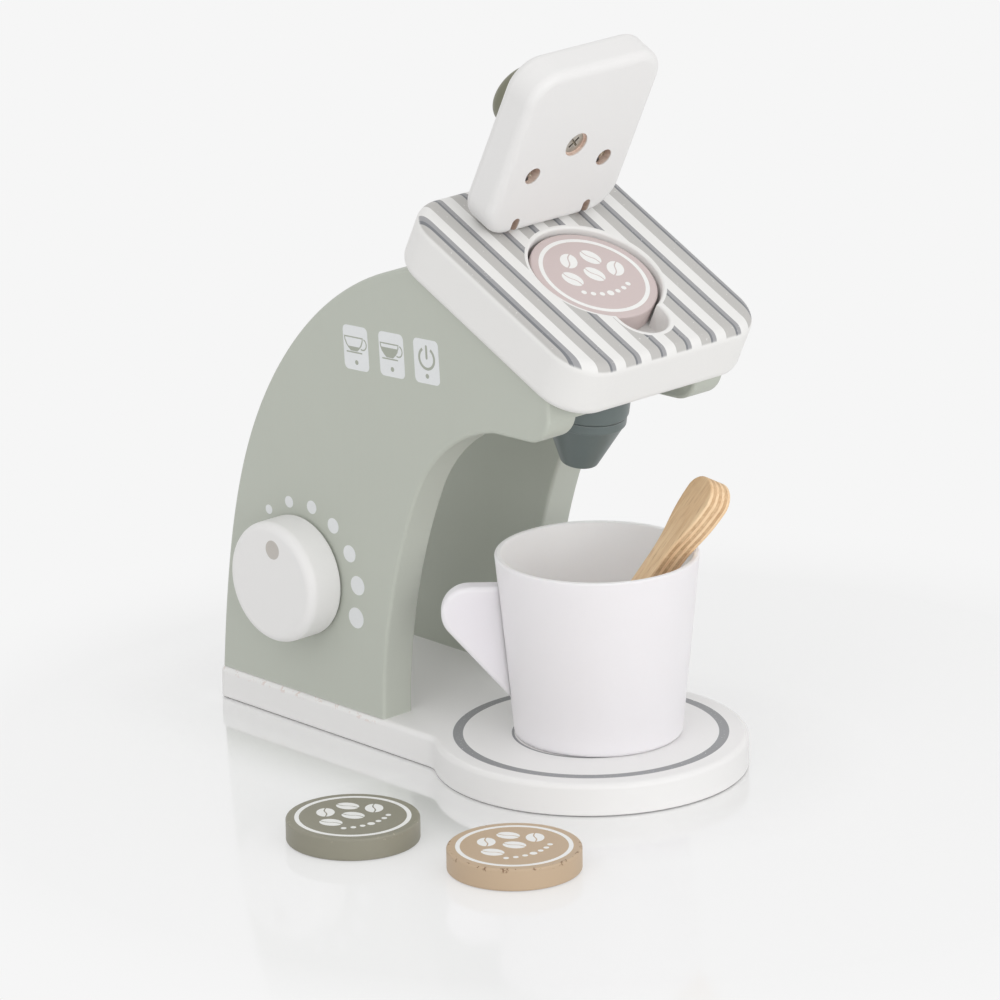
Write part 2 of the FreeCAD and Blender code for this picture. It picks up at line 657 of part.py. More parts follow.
def spoon_outline():
    """The stirrer's flat outline: a straight stick, a waist and a rounded paddle."""
    stick = SPOON_STICK / 2
    paddle = SPOON_PADDLE / 2
    neck = SPOON_LENGTH - SPOON_PADDLE_LENGTH
    edges = [line(Vector(-stick, 0, 0), Vector(stick, 0, 0))]
    tip = Vector(0, SPOON_LENGTH, 0)
    shoulder_y = SPOON_LENGTH - paddle
    for side in (-1, 1):
        low = Vector(side * stick, neck - SPOON_WAIST / 2, 0)
        high = Vector(side * paddle, shoulder_y, 0)
        curve = Part.BezierCurve()
        bend = (shoulder_y - low.y) / 2
        curve.setPoles([low, low + Vector(0, bend, 0), high - Vector(0, bend, 0), high])
        edges.append(line(Vector(side * stick, 0, 0), low))
        edges.append(curve.toShape())
    edges.append(bow(Vector(-paddle, shoulder_y, 0), tip, Vector(paddle, shoulder_y, 0)))
    return face_from(edges)


def spoon_frame():
    """The stirrer's place: leaning across the cup towards the rim, turned about its length."""
    turn = Rotation(Vector(0, 0, 1), SPOON_TURN)
    lean = Rotation(Vector(0, 1, 0), SPOON_LEAN)
    upright = Rotation(Vector(1, 0, 0), 90)
    roll = Rotation(Vector(0, 0, 1), SPOON_ROLL)
    spin = turn.multiply(lean).multiply(roll).multiply(upright)
    foot = turn.multVec(Vector(SPOON_FOOT_X, 0, 0)) + Vector(CUP_X, CUP_Y, DISC_TOP + SPOON_FOOT_Z)
    return Placement(foot, spin)


def make_spoon():
    """The plywood stirrer."""
    body = spoon_outline().extrude(Vector(0, 0, SPOON_THICK))
    body.translate(Vector(0, 0, -SPOON_THICK / 2))
    half = SPOON_THICK / 2
    body = body.makeFillet(SPOON_EASE, edges_near(body, lambda p: abs(abs(p.z) - half) < NEAR))
    body.Placement = spoon_frame()
    return body


def pod():
    """A coffee pod: a flat turned disc with slightly eased edges, from Z 0 up."""
    disc = Part.makeCylinder(POD_RADIUS, POD_THICK)
    return disc.makeFillet(POD_EASE, [e for e in disc.Edges if len(e.Vertexes) == 1])


def make_pocket_pod():
    """The pod that lies in the head board's pocket."""
    disc = pod()
    disc.translate(Vector(0, POCKET_Y, POD_LOW))
    return to_head(disc)


def make_loose_pod(place):
    """A pod that lies beside the machine."""
    disc = pod()
    disc.translate(Vector(place[0], place[1], 0))
    return disc


def build():
    """Every piece by its node's name."""
    return {
        "base_plate": make_base(),
        "left_side_panel": make_panel(-1),
        "right_side_panel": make_panel(1),
        "panel_screws": make_panel_screws(),
        "panel_dowels": make_panel_dowels(),
        "cross_block": make_cross_block(),
        "cross_block_dowels": Part.makeCompound(block_dowels()),
        "head_board": make_head_board(),
        "head_screws": make_head_screws(),
        "nozzle_boss": make_nozzle_boss(),
        "nozzle": make_nozzle(),
        "nozzle_screw": make_nozzle_screw(),
        "lid": make_lid(),
        "lid_screw": make_lid_screw(),
        "lid_knob": make_lid_knob(),
        "lid_cords": make_lid_cords(),
        "head_cords": make_head_cords(),
        "dial_knob": make_dial_knob(),
        "dial_washer": make_dial_washer(),
        "dial_screw": make_dial_screw(),
        "cup": make_cup(),
        "cup_handle": make_cup_handle(),
        "spoon": make_spoon(),
        "pod_pink": make_pocket_pod(),
        "pod_green": make_loose_pod(GREEN_POD),
        "pod_tan": make_loose_pod(TAN_POD),
    }


os.makedirs("parts", exist_ok=True)
for name, shape in build().items():
    shape.exportStep("parts/" + name + ".step")
    print(name, len(shape.Solids), round(shape.Volume, 1), shape.isValid())
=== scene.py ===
"""The looks of a wooden toy coffee maker with a cup, a stirrer and three pods."""

import logging
import math
from dataclasses import dataclass, field
from enum import Enum
from typing import Any, Callable, Iterable, Sequence

import bmesh
import bpy
from mathutils import Matrix, Vector


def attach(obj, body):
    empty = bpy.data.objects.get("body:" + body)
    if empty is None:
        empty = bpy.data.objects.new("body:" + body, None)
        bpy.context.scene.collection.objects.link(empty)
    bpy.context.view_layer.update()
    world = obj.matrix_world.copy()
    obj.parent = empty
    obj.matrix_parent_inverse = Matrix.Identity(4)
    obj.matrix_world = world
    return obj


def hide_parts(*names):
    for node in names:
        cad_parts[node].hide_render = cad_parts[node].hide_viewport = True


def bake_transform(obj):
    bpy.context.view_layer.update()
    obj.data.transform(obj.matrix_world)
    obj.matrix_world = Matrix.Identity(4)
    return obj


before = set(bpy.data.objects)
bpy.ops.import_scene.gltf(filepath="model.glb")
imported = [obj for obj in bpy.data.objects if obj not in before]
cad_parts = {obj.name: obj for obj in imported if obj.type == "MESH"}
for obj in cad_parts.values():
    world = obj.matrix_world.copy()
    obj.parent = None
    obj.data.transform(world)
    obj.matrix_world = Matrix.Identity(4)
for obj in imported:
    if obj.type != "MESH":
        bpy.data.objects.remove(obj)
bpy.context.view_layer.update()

LOG = logging.getLogger("coffee_maker")
MM = 0.001

Shade = tuple[float, float, float]
Point = tuple[float, float]
Socket = bpy.types.NodeSocket
Triple = tuple[float, float, float]

# Places in the head board's frame, in millimetres: the cords across and along it, the upper
# knots over it, and the pod's pocket along it.
CORD_X = 14.7
CORD_LINE = 22.4
KNOT_HIGH = 22.2
POCKET_LINE = -4.0

# How far a drilled hole's mask is softened, in metres.
HOLE_SOFT = 0.02 * MM

# Where the two loose pods lie, and the height of their tops, in millimetres.
GREEN_PLACE: Point = (-95.8, 3.0)
TAN_PLACE: Point = (-79.8, -49.5)
POD_TOP = 6.9

# How the wood's grain under a paint is drawn out.
ALONG_Y: Triple = (1.0, 0.05, 1.0)
ALONG_Z: Triple = (1.0, 1.0, 0.05)


def linear(shade: Shade) -> tuple[float, float, float, float]:
    """Turns a colour as it is seen on a screen into the linear one that shaders take.

    Args:
        shade: Red, green and blue from 0 to 255.

    Returns:
        Linear red, green and blue from 0 to 1, and an alpha of 1.
    """
    parts = []
    for value in shade:
        part = value / 255.0
        parts.append(part / 12.92 if part <= 0.04045 else ((part + 0.055) / 1.055) ** 2.4)
    return (parts[0], parts[1], parts[2], 1.0)


class Body(Enum):
    """The bodies that the pieces made here ride on."""

    MACHINE = "machine"
    LID = "lid"
    DIAL = "dial"
    POCKET_POD = "pocket_pod"
    GREEN_POD = "green_pod"
    TAN_POD = "tan_pod"


class Effect(Enum):
    """The surface effects that more than one finish uses, as node groups."""

    SPRAYED = "Sprayed Paint"
    # The edge effect paints a highlight along edges and chips the paint down to the wood.
    EDGE = "Edge Highlight And Chips"
    GRAIN = "Wood Grain"
    RING = "Ring Mask"
    SLOPE = "Head Board Place"
    SPAN = "Span Mask"


class Graph:
    """Builds one node tree, a material's or a group's."""

    def __init__(self, tree: bpy.types.NodeTree) -> None:
        """Keeps the tree that the nodes go into."""
        self.tree = tree

    def feed(self, socket: Socket, value: Any) -> None:
        """Links a socket to another one, or sets its value.

        Args:
            socket: The input to feed.
            value: An output socket, a number, a vector or a colour.
        """
        if isinstance(value, bpy.types.NodeSocket):
            self.tree.links.new(value, socket)
            return
        if socket.type == "RGBA" and len(value) == 3:
            value = (*value, 1.0)
        socket.default_value = value

    def add(self, kind: str, feeds: dict[Any, Any] | None = None, **settings: Any) -> bpy.types.Node:
        """Adds a node.

        Args:
            kind: The node's Blender type.
            feeds: What goes into each input, by its name or number.
            settings: The node's own properties.

        Returns:
            The node.
        """
        node = self.tree.nodes.new(kind)
        for name, value in settings.items():
            setattr(node, name, value)
        for key, value in (feeds or {}).items():
            self.feed(node.inputs[key], value)
        return node

    def maths(self, operation: str, *values: Any, clamp: bool = False) -> Socket:
        """Adds a Math node on these values and returns its output."""
        feeds = dict(enumerate(values))
        return self.add("ShaderNodeMath", feeds, operation=operation, use_clamp=clamp).outputs[0]

    def plus(self, first: Any, second: Any, clamp: bool = False) -> Socket:
        """Adds two numbers."""
        return self.maths("ADD", first, second, clamp=clamp)

    def minus(self, first: Any, second: Any, clamp: bool = False) -> Socket:
        """Takes the second number from the first."""
        return self.maths("SUBTRACT", first, second, clamp=clamp)

    def times(self, first: Any, second: Any, clamp: bool = False) -> Socket:
        """Multiplies two numbers."""
        return self.maths("MULTIPLY", first, second, clamp=clamp)

    def larger(self, first: Any, second: Any) -> Socket:
        """Gives the larger of two numbers."""
        return self.maths("MAXIMUM", first, second)

    def size(self, value: Any) -> Socket:
        """Gives a number without its sign."""
        return self.maths("ABSOLUTE", value)

    def swing(self, value: Any, reach: Any) -> Socket:
        """Turns a number from 0 to 1 into one that swings about 0, over this reach in all."""
        return self.times(self.minus(value, 0.5), reach)

    def shares(self, first: Any, second: Any, part: float) -> Socket:
        """Adds this part of the first number to the rest of the second."""
        return self.plus(self.times(first, part), self.times(second, 1.0 - part))

    def tint(self, colour: Any, tone: Any) -> Socket:
        """Multiplies a colour by a number."""
        return self.mix(1.0, colour, self.join(tone, tone, tone), "MULTIPLY")

    def reach(self, x: Any, y: Any) -> Socket:
        """Gives the distance to the origin of a flat place."""
        return self.vector("LENGTH", self.join(x, y, 0.0))

    def away(self, place: Any, centre: Any) -> Socket:
        """Gives the distance to an upright axis through a centre."""
        flat = self.vector("MULTIPLY", self.vector("SUBTRACT", place, centre), (1.0, 1.0, 0.0))
        return self.vector("LENGTH", flat)

    def past(self, value: Any, low: float, high: float) -> Socket:
        """Goes smoothly from 0 at one place to 1 at the other, both in millimetres."""
        return self.rise(value, low * MM, high * MM)

    def span(self, value: Any, low: float, high: float, soft: float) -> Socket:
        """Gives the mask of a span, with softened ends."""
        return self.effect(Effect.SPAN, Value=value, From=low, To=high, Soft=soft).outputs[0]

    def ring(self, place: Any, centre: Point, inner: float, outer: float, soft: float) -> Socket:
        """Gives the mask of a ring about an upright axis, with its place and radii in millimetres."""
        middle = (centre[0] * MM, centre[1] * MM, 0.0)
        return self.effect(Effect.RING, Vector=place, Centre=middle, Inner=inner * MM, Outer=outer * MM,
                           Soft=soft).outputs[0]

    def hole(self, place: Any, centre: Point, radius: float) -> Socket:
        """Gives the mask of a drilled hole, with its place and radius in millimetres."""
        return self.ring(place, centre, -1.0 / MM, radius, HOLE_SOFT)

    def grain(self, place: Any, light: Shade, dark: Shade, fineness: float = 1.0) -> Any:
        """Gives the outputs of the bare wood's grain: its colour and its height."""
        feeds = {"Vector": place, "Light": linear(light), "Dark": linear(dark), "Fineness": fineness}
        return self.effect(Effect.GRAIN, **feeds).outputs

    def seen(self) -> Socket:
        """Is 1 for what the camera sees, straight or in a gloss, and 0 for the light itself."""
        rays = self.add("ShaderNodeLightPath").outputs
        direct = self.larger(rays["Is Camera Ray"], rays["Is Transmission Ray"])
        return self.larger(direct, rays["Is Glossy Ray"])

    def surface(self, shader: bpy.types.Node, colour: Any, rough: Any, height: Any, depth: float) -> None:
        """Feeds a Principled shader its colour, roughness and relief, which is so many metres high."""
        bump = self.add("ShaderNodeBump", {"Strength": 1.0, "Distance": depth, "Height": height})
        for name, value in (("Base Color", colour), ("Roughness", rough), ("Normal", bump.outputs[0])):
            self.feed(shader.inputs[name], value)

    def vector(self, operation: str, *values: Any) -> Socket:
        """Adds a Vector Math node and returns its vector, or its number for a length or a dot product."""
        node = self.add("ShaderNodeVectorMath", dict(enumerate(values)), operation=operation)
        single = operation in ("LENGTH", "DOT_PRODUCT", "DISTANCE")
        return node.outputs["Value" if single else "Vector"]

    def mix(self, factor: Any, first: Any, second: Any, blend: str = "MIX") -> Socket:
        """Lays as much of the second colour on the first as the factor says, from 0 to 1."""
        node = self.add("ShaderNodeMix", {0: factor, 6: first, 7: second}, data_type="RGBA", blend_type=blend)
        return node.outputs[2]

    def rise(self, value: Any, low: Any, high: Any) -> Socket:
        """Goes smoothly from 0 at low to 1 at high.

        Args:
            value: The number that is looked at.
            low: Where the result is 0.
            high: Where the result is 1.

        Returns:
            The result's socket.
        """
        feeds = {"Value": value, "From Min": low, "From Max": high}
        node = self.add("ShaderNodeMapRange", feeds, interpolation_type="SMOOTHSTEP")
        return node.outputs["Result"]

    def noise(self, vector: Any, scale: float, detail: float = 2.0, rough: float = 0.5) -> Socket:
        """Adds a noise of so many cells a metre and returns its height, from 0 to 1."""
        feeds = {"Vector": vector, "Scale": scale, "Detail": detail, "Roughness": rough}
        return self.add("ShaderNodeTexNoise", feeds).outputs[0]

    def split(self, vector: Any) -> tuple[Socket, Socket, Socket]:
        """Splits a vector into its three numbers."""
        outputs = self.add("ShaderNodeSeparateXYZ", {0: vector}).outputs
        return outputs[0], outputs[1], outputs[2]

    def join(self, x: Any, y: Any, z: Any) -> Socket:
        """Joins three numbers into a vector."""
        return self.add("ShaderNodeCombineXYZ", {0: x, 1: y, 2: z}).outputs[0]

    def place(self) -> Socket:
        """The point's place in the row frame at rest, in metres."""
        return self.add("ShaderNodeTexCoord").outputs["Object"]

    def local(self, vector: Any, origin: Sequence[float], turn: Sequence[float]) -> Socket:
        """Gives the place in a frame with this origin, in metres, and these XYZ angles, in radians."""
        feeds = {"Vector": vector, "Location": origin, "Rotation": turn}
        return self.add("ShaderNodeMapping", feeds, vector_type="TEXTURE").outputs[0]

    def effect(self, effect: Effect, **feeds: Any) -> bpy.types.Node:
        """Places a shared effect.

        Args:
            effect: The effect, which is built the first time.
            feeds: What goes into its inputs, by their names.

        Returns:
            The group's node.
        """
        if effect not in Group.built:
            Group(effect)
        node = self.add("ShaderNodeGroup", node_tree=Group.built[effect])
        for name, value in feeds.items():
            self.feed(node.inputs[name.replace("_", " ")], value)
        return node


class Group(Graph):
    """A shared effect, as a node group with named inputs and outputs."""

    SOCKETS = {"v": "NodeSocketVector", "c": "NodeSocketColor", "f": "NodeSocketFloat"}
    built: dict[Effect, bpy.types.NodeTree] = {}

    def __init__(self, effect: Effect) -> None:
        """Builds an effect's group and keeps it for the next finish that asks for it.

        Args:
            effect: The effect.
        """
        super().__init__(bpy.data.node_groups.new(effect.value, "ShaderNodeTree"))
        makers = {
            Effect.SPRAYED: self.make_sprayed,
            Effect.EDGE: self.make_edge,
            Effect.GRAIN: self.make_grain,
            Effect.RING: self.make_ring,
            Effect.SLOPE: self.make_slope,
            Effect.SPAN: self.make_span,
        }
        makers[effect]()
        self.built[effect] = self.tree

    def start(self, takes: dict[str, str], gives: dict[str, str]) -> tuple[Any, Any]:
        """Gives the group its inputs and outputs.

        Args:
            takes: Its inputs: v for a vector, c for a colour, f for a number.
            gives: Its outputs, written the same way.

        Returns:
            The inputs' sockets by name and the outputs' sockets by name.
        """
        for way, sockets in (("INPUT", takes), ("OUTPUT", gives)):
            for title, kind in sockets.items():
                self.tree.interface.new_socket(name=title, in_out=way, socket_type=self.SOCKETS[kind])
        return self.add("NodeGroupInput").outputs, self.add("NodeGroupOutput").inputs

    def make_sprayed(self) -> None:
        """Builds sprayed paint: a drifting tint, an orange peel and the wood's grain under it."""
        takes = {"Vector": "v", "Colour": "c", "Drift": "f", "Sheen Spread": "f", "Grain Stretch": "v"}
        given, out = self.start(takes, {"Colour": "c", "Gloss": "f", "Height": "f"})
        place = given["Vector"]
        cloud = self.noise(place, 38.0, 3.0, 0.55)
        speck = self.noise(place, 900.0, 2.0, 0.6)
        lines = self.noise(self.vector("MULTIPLY", place, given["Grain Stretch"]), 620.0, 3.0, 0.6)
        peel = self.noise(place, 760.0, 1.0, 0.4)
        level = self.minus(self.plus(cloud, self.times(speck, 0.35)), 0.675)
        level = self.plus(level, self.swing(lines, 0.5))
        shift = self.plus(self.times(level, given["Drift"]), 1.0)
        self.feed(out["Colour"], self.tint(given["Colour"], shift))
        self.feed(out["Gloss"], self.swing(cloud, given["Sheen Spread"]))
        self.feed(out["Height"], self.shares(peel, lines, 0.55))

    def make_edge(self) -> None:
        """Builds edges with a painted highlight that makes the paint a shade lighter along them, and chips
        down to the wood.
        """
        takes = {"Vector": "v", "Colour": "c", "Bare": "c",
                 "Width": "f", "Thin": "f", "Chips": "f", "Patch": "f"}
        given, out = self.start(takes, {"Colour": "c", "Chip": "f"})
        rounded = self.add("ShaderNodeBevel", {"Radius": given["Width"]}, samples=6).outputs[0]
        flat = self.add("ShaderNodeNewGeometry").outputs["Normal"]
        bend = self.minus(1.0, self.vector("DOT_PRODUCT", rounded, flat))
        near = self.rise(bend, 0.01, 0.16)
        place = given["Vector"]
        patch = self.noise(place, 210.0, 4.0, 0.62)
        fleck = self.noise(place, 900.0, 3.0, 0.7)
        blot = self.plus(self.shares(patch, fleck, 0.6), self.times(given["Patch"], 0.2))
        reach = self.minus(1.0, self.times(given["Chips"], 0.5))
        chip = self.times(self.rise(blot, reach, self.plus(reach, 0.03)), near)
        # Painted highlight: the paint is lightened towards white along the edges.
        pale = self.mix(self.times(near, given["Thin"]), given["Colour"], (1.0, 0.99, 0.97))
        self.feed(out["Colour"], self.mix(chip, pale, given["Bare"]))
        self.feed(out["Chip"], chip)

    def make_grain(self) -> None:
        """Builds bare wood: long fibres, darker rings and pores, along the frame's Y."""
        takes = {"Vector": "v", "Light": "c", "Dark": "c", "Fineness": "f"}
        given, out = self.start(takes, {"Colour": "c", "Height": "f"})
        drawn = self.vector("SCALE", self.vector("MULTIPLY", given["Vector"], (1.0, 0.06, 1.0)))
        self.feed(drawn.node.inputs["Scale"], given["Fineness"])
        fibre = self.noise(drawn, 1500.0, 4.0, 0.65)
        ring = self.noise(drawn, 260.0, 2.0, 0.5)
        pore = self.rise(self.noise(drawn, 3100.0, 1.0, 0.5), 0.60, 0.72)
        tone = self.shares(fibre, ring, 0.55)
        colour = self.mix(self.rise(tone, 0.34, 0.66), given["Light"], given["Dark"])
        dark = self.mix(1.0, colour, (0.62, 0.5, 0.42), "MULTIPLY")
        self.feed(out["Colour"], self.mix(self.times(pore, 0.45), colour, dark))
        self.feed(out["Height"], self.minus(tone, self.times(pore, 0.5)))

    def make_ring(self) -> None:
        """Builds the mask of a printed ring round a centre in the XY plane."""
        takes = {"Vector": "v", "Centre": "v", "Inner": "f", "Outer": "f", "Soft": "f"}
        given, out = self.start(takes, {"Mask": "f"})
        away = self.away(given["Vector"], given["Centre"])
        self.between(away, (given["Inner"], given["Outer"], given["Soft"]), out["Mask"])

    def between(self, value: Socket, limits: Sequence[Socket], out: Socket) -> None:
        """Masks what lies between two softened limits.

        Args:
            value: The number that is looked at.
            limits: The lower limit, the upper one and how far they are softened.
            out: The group's output.
        """
        low, high, soft = limits
        up, down = (self.rise(value, self.minus(limit, soft), self.plus(limit, soft))
                    for limit in (low, high))
        self.feed(out, self.minus(up, down, clamp=True))

    def make_slope(self) -> None:
        """Builds the head board's own frame: X across, Y up the slope to the rear, Z off the board."""
        given, out = self.start({"Vector": "v"}, {"Vector": "v"})
        self.feed(out["Vector"], self.local(given["Vector"], HEAD_ORIGIN, (HEAD_SLOPE, 0.0, 0.0)))

    def make_span(self) -> None:
        """Builds the mask of a span from one number to another, with softened ends."""
        takes = {"Value": "f", "From": "f", "To": "f", "Soft": "f"}
        given, out = self.start(takes, {"Mask": "f"})
        self.between(given["Value"], (given["From"], given["To"], given["Soft"]), out["Mask"])


HEAD_ORIGIN = (0.0, -0.4 * MM, 158.2 * MM)
HEAD_SLOPE = math.radians(25.6)
HEAD_MATRIX = Matrix.Translation(HEAD_ORIGIN) @ Matrix.Rotation(HEAD_SLOPE, 4, "X")
RAW_WOOD: Shade = (230, 212, 200)
RAW_DARK: Shade = (204, 178, 162)

# The underside and the top of a print and of a picture on it, in millimetres off the face.
FLAT = (-0.02, 0.035)
RAISED = (0.035, 0.055)


def new_material(name: str) -> tuple[bpy.types.Material, Graph, bpy.types.Node]:
    """Starts a material.

    Args:
        name: The material's name.

    Returns:
        The material, its graph and its Principled shader.
    """
    material = bpy.data.materials.new(name)
    material.use_nodes = True
    tree = material.node_tree
    tree.nodes.clear()
    graph = Graph(tree)
    shader = graph.add("ShaderNodeBsdfPrincipled")
    graph.add("ShaderNodeOutputMaterial", {"Surface": shader.outputs[0]})
    return material, graph, shader


def raw_wood(graph: Graph, place: Any) -> Socket:
    """Gives the colour of the bare wood inside a drilled hole or a sawn slot."""
    return graph.grain(place, RAW_WOOD, RAW_DARK)["Colour"]


@dataclass(frozen=True)
class Paint:
    """A sprayed satin paint on wood.

    Attributes:
        name: The finish's name.
        shade: Its colour as seen on a screen.
        drift: How far its tint drifts.
        roughness: How matt it is, from 0 to 1.
        peel: The height of its orange peel and grain, in metres.
        stretch: How the wood's grain under it is drawn out.
        thin: How strongly a painted highlight lightens its edges.
        chips: How much of the edges is chipped, from 0 to 1.
        bare: The colour in a chip.
        depth: How far light goes into a thin wall under the paint, in metres.
    """

    name: str
    shade: Shade
    drift: float = 0.05
    roughness: float = 0.46
    peel: float = 0.022 * MM
    stretch: Triple = ALONG_Z
    thin: float = 0.10
    chips: float = 0.0
    bare: Shade = (196, 170, 150)
    depth: float = 0.0

    def layers(self, graph: Graph, place: Socket, colour: Socket) -> Socket:
        """Lays prints and bare places over the paint; a plain paint has none."""
        return colour

    def patches(self, graph: Graph, place: Socket) -> Any:
        """Says where the edges are more worn than elsewhere, from 0 to 1."""
        return 0.0

    def build(self) -> bpy.types.Material:
        """Builds the material.

        Returns:
            The finished material.
        """
        material, graph, shader = new_material(self.name)
        place = graph.place()
        coat = graph.effect(Effect.SPRAYED, Vector=place, Colour=linear(self.shade), Drift=self.drift,
                            Sheen_Spread=0.16, Grain_Stretch=self.stretch).outputs
        # The edge effect paints a highlight along the edges and chips the paint off them.
        edge = graph.effect(Effect.EDGE, Vector=place, Colour=coat["Colour"], Bare=linear(self.bare),
                            Width=0.9 * MM, Thin=self.thin, Chips=self.chips,
                            Patch=self.patches(graph, place)).outputs
        colour = self.layers(graph, place, edge["Colour"])
        rough = graph.plus(coat["Gloss"], self.roughness)
        rough = graph.plus(rough, graph.times(edge["Chip"], 0.3), clamp=True)
        height = graph.minus(coat["Height"], graph.times(edge["Chip"], 3.0))
        graph.surface(shader, colour, rough, height, self.peel)
        graph.feed(shader.inputs["IOR"], 1.46)
        if self.depth:
            graph.feed(shader.inputs["Subsurface Weight"], 0.8)
            graph.feed(shader.inputs["Subsurface Radius"], (1.0, 1.0, 1.0))
            graph.feed(shader.inputs["Subsurface Scale"], self.depth)
        return material


@dataclass(frozen=True)
class BasePaint(Paint):
    """The base plate's paint, with its printed ring, a thin dark circle just round the cup's foot and its
    rubbed joint with the panels.

    Attributes:
        ring: The printed ring's inner and outer radius, in millimetres.
        cup_circle: Those of the thin dark circle just round the cup's foot.
        ink: The rings' colour.
        print_high: The heights between which the print begins.
        worn: The spans across, to the rear and up over which the wear of its edge sets in.
    """

    ring: Point = (38.95, 42.0)
    cup_circle: Point = (23.3, 24.1)
    ink: Shade = (146, 147, 149)
    print_high: Point = (9.90, 9.94)
    worn: tuple[Point, Point, Point] = ((35.5, 36.8), (50.0, 60.0), (7.4, 9.0))

    def layers(self, graph: Graph, place: Socket, colour: Socket) -> Socket:
        """Lays the printed ring and the thin dark circle on the plate's top.

        Args:
            graph: The material's graph.
            place: The point's place.
            colour: The paint's colour.

        Returns:
            The colour with the ring, the dark circle and the worn places.
        """
        top = graph.past(graph.split(place)[2], *self.print_high)
        wide, narrow = (graph.ring(place, (0.0, 0.0), *radii, 0.05 * MM)
                        for radii in (self.ring, self.cup_circle))
        speck = graph.rise(graph.noise(place, 1400.0, 3.0, 0.6), 0.30, 0.36)
        # The wide ring is printed; the thin circle is a dark line of the same colour just round the cup's
        # foot.
        ring_and_circle = graph.times(graph.plus(wide, narrow, clamp=True), top)
        colour = graph.mix(graph.times(ring_and_circle, speck), colour, linear(self.ink))
        flaked = graph.rise(graph.noise(place, 520.0, 4.0, 0.7), 0.56, 0.61)
        flaked = graph.times(flaked, self.patches(graph, place))
        return graph.mix(graph.times(flaked, 0.5), colour, linear(self.bare))

    def patches(self, graph: Graph, place: Socket) -> Any:
        """Says that the plate's top edge is rubbed beside the panels.

        Args:
            graph: The material's graph.
            place: The point's place.

        Returns:
            The socket of the wear, from 0 to 1.
        """
        x, y, z = graph.split(place)
        places = (graph.size(x), y, z)
        side, along, high = (graph.past(value, *span) for value, span in zip(places, self.worn))
        return graph.times(graph.times(side, along), high)


@dataclass(frozen=True)
class HeadPaint(Paint):
    """The head board's paint, with its printed stripes and bare drillings.

    Attributes:
        first: Where the first dark line stands across the board, in millimetres.
        step: From one dark line to the next.
        bands: From where to where each band lies beside a dark line, and its colour: the wide band,
            the narrow one and the line itself.
        pocket: The radius of the pod's pocket, with the print's margin.
        notch: Where the finger notch's middle lies along the board, and its radius with the margin.
        cord_hole: The radius of a cord's hole.
    """

    first: float = -37.3
    step: float = 10.44
    bands: tuple[tuple[float, float, Shade], ...] = (
        (-4.45, 0.0, (190, 188, 185)), (0.2, 1.9, (158, 158, 160)), (-0.42, 0.38, (122, 124, 128)))
    pocket: float = 22.15
    notch: Point = (-25.5, 10.1)
    cord_hole: float = 2.95

    def beside_line(self, graph: Graph, across: Socket) -> Socket:
        """Gives how far a place lies beside the nearest dark line, in millimetres."""
        start = (self.first - self.step * 0.5) * MM
        turns = graph.maths("DIVIDE", graph.minus(across, start), self.step * MM)
        return graph.swing(graph.maths("FRACT", turns), self.step)

    def whole(self, graph: Graph, across: Socket, along: Socket) -> Socket:
        """Says where the board's top is whole, outside the pocket and its notch.

        Args:
            graph: The material's graph.
            across: The place across the board.
            along: The place along it.

        Returns:
            The mask of the whole part.
        """
        round_pocket = graph.reach(across, graph.minus(along, POCKET_LINE * MM))
        middle, radius = self.notch
        ahead = graph.larger(graph.minus(middle * MM, along), 0.0)
        beyond = graph.past(round_pocket, self.pocket, self.pocket + 0.15)
        behind = graph.past(along, -6.0, -5.9)
        off_notch = graph.past(graph.reach(across, ahead), radius, radius + 0.15)
        return graph.times(beyond, graph.larger(off_notch, behind))

    def layers(self, graph: Graph, place: Socket, colour: Socket) -> Socket:
        """Lays the stripes on the top and bare wood in the cord holes.

        Args:
            graph: The material's graph.
            place: The point's place.
            colour: The paint's colour.

        Returns:
            The colour with its prints.
        """
        own = graph.effect(Effect.SLOPE, Vector=place).outputs[0]
        x, y, z = graph.split(own)
        beside = self.beside_line(graph, x)
        shown = graph.times(graph.past(z, -2.3, -1.5), self.whole(graph, x, y))
        speck = graph.rise(graph.noise(place, 1500.0, 3.0, 0.6), 0.26, 0.34)
        shown = graph.times(shown, speck)
        for low, high, shade in self.bands:
            colour = graph.mix(graph.times(graph.span(beside, low, high, 0.06), shown), colour, linear(shade))
        drilled = graph.hole(graph.join(graph.size(x), y, 0.0), (CORD_X, CORD_LINE), self.cord_hole)
        deep = graph.past(z, -0.5, -0.9)
        return graph.mix(graph.times(drilled, deep), colour, raw_wood(graph, place))


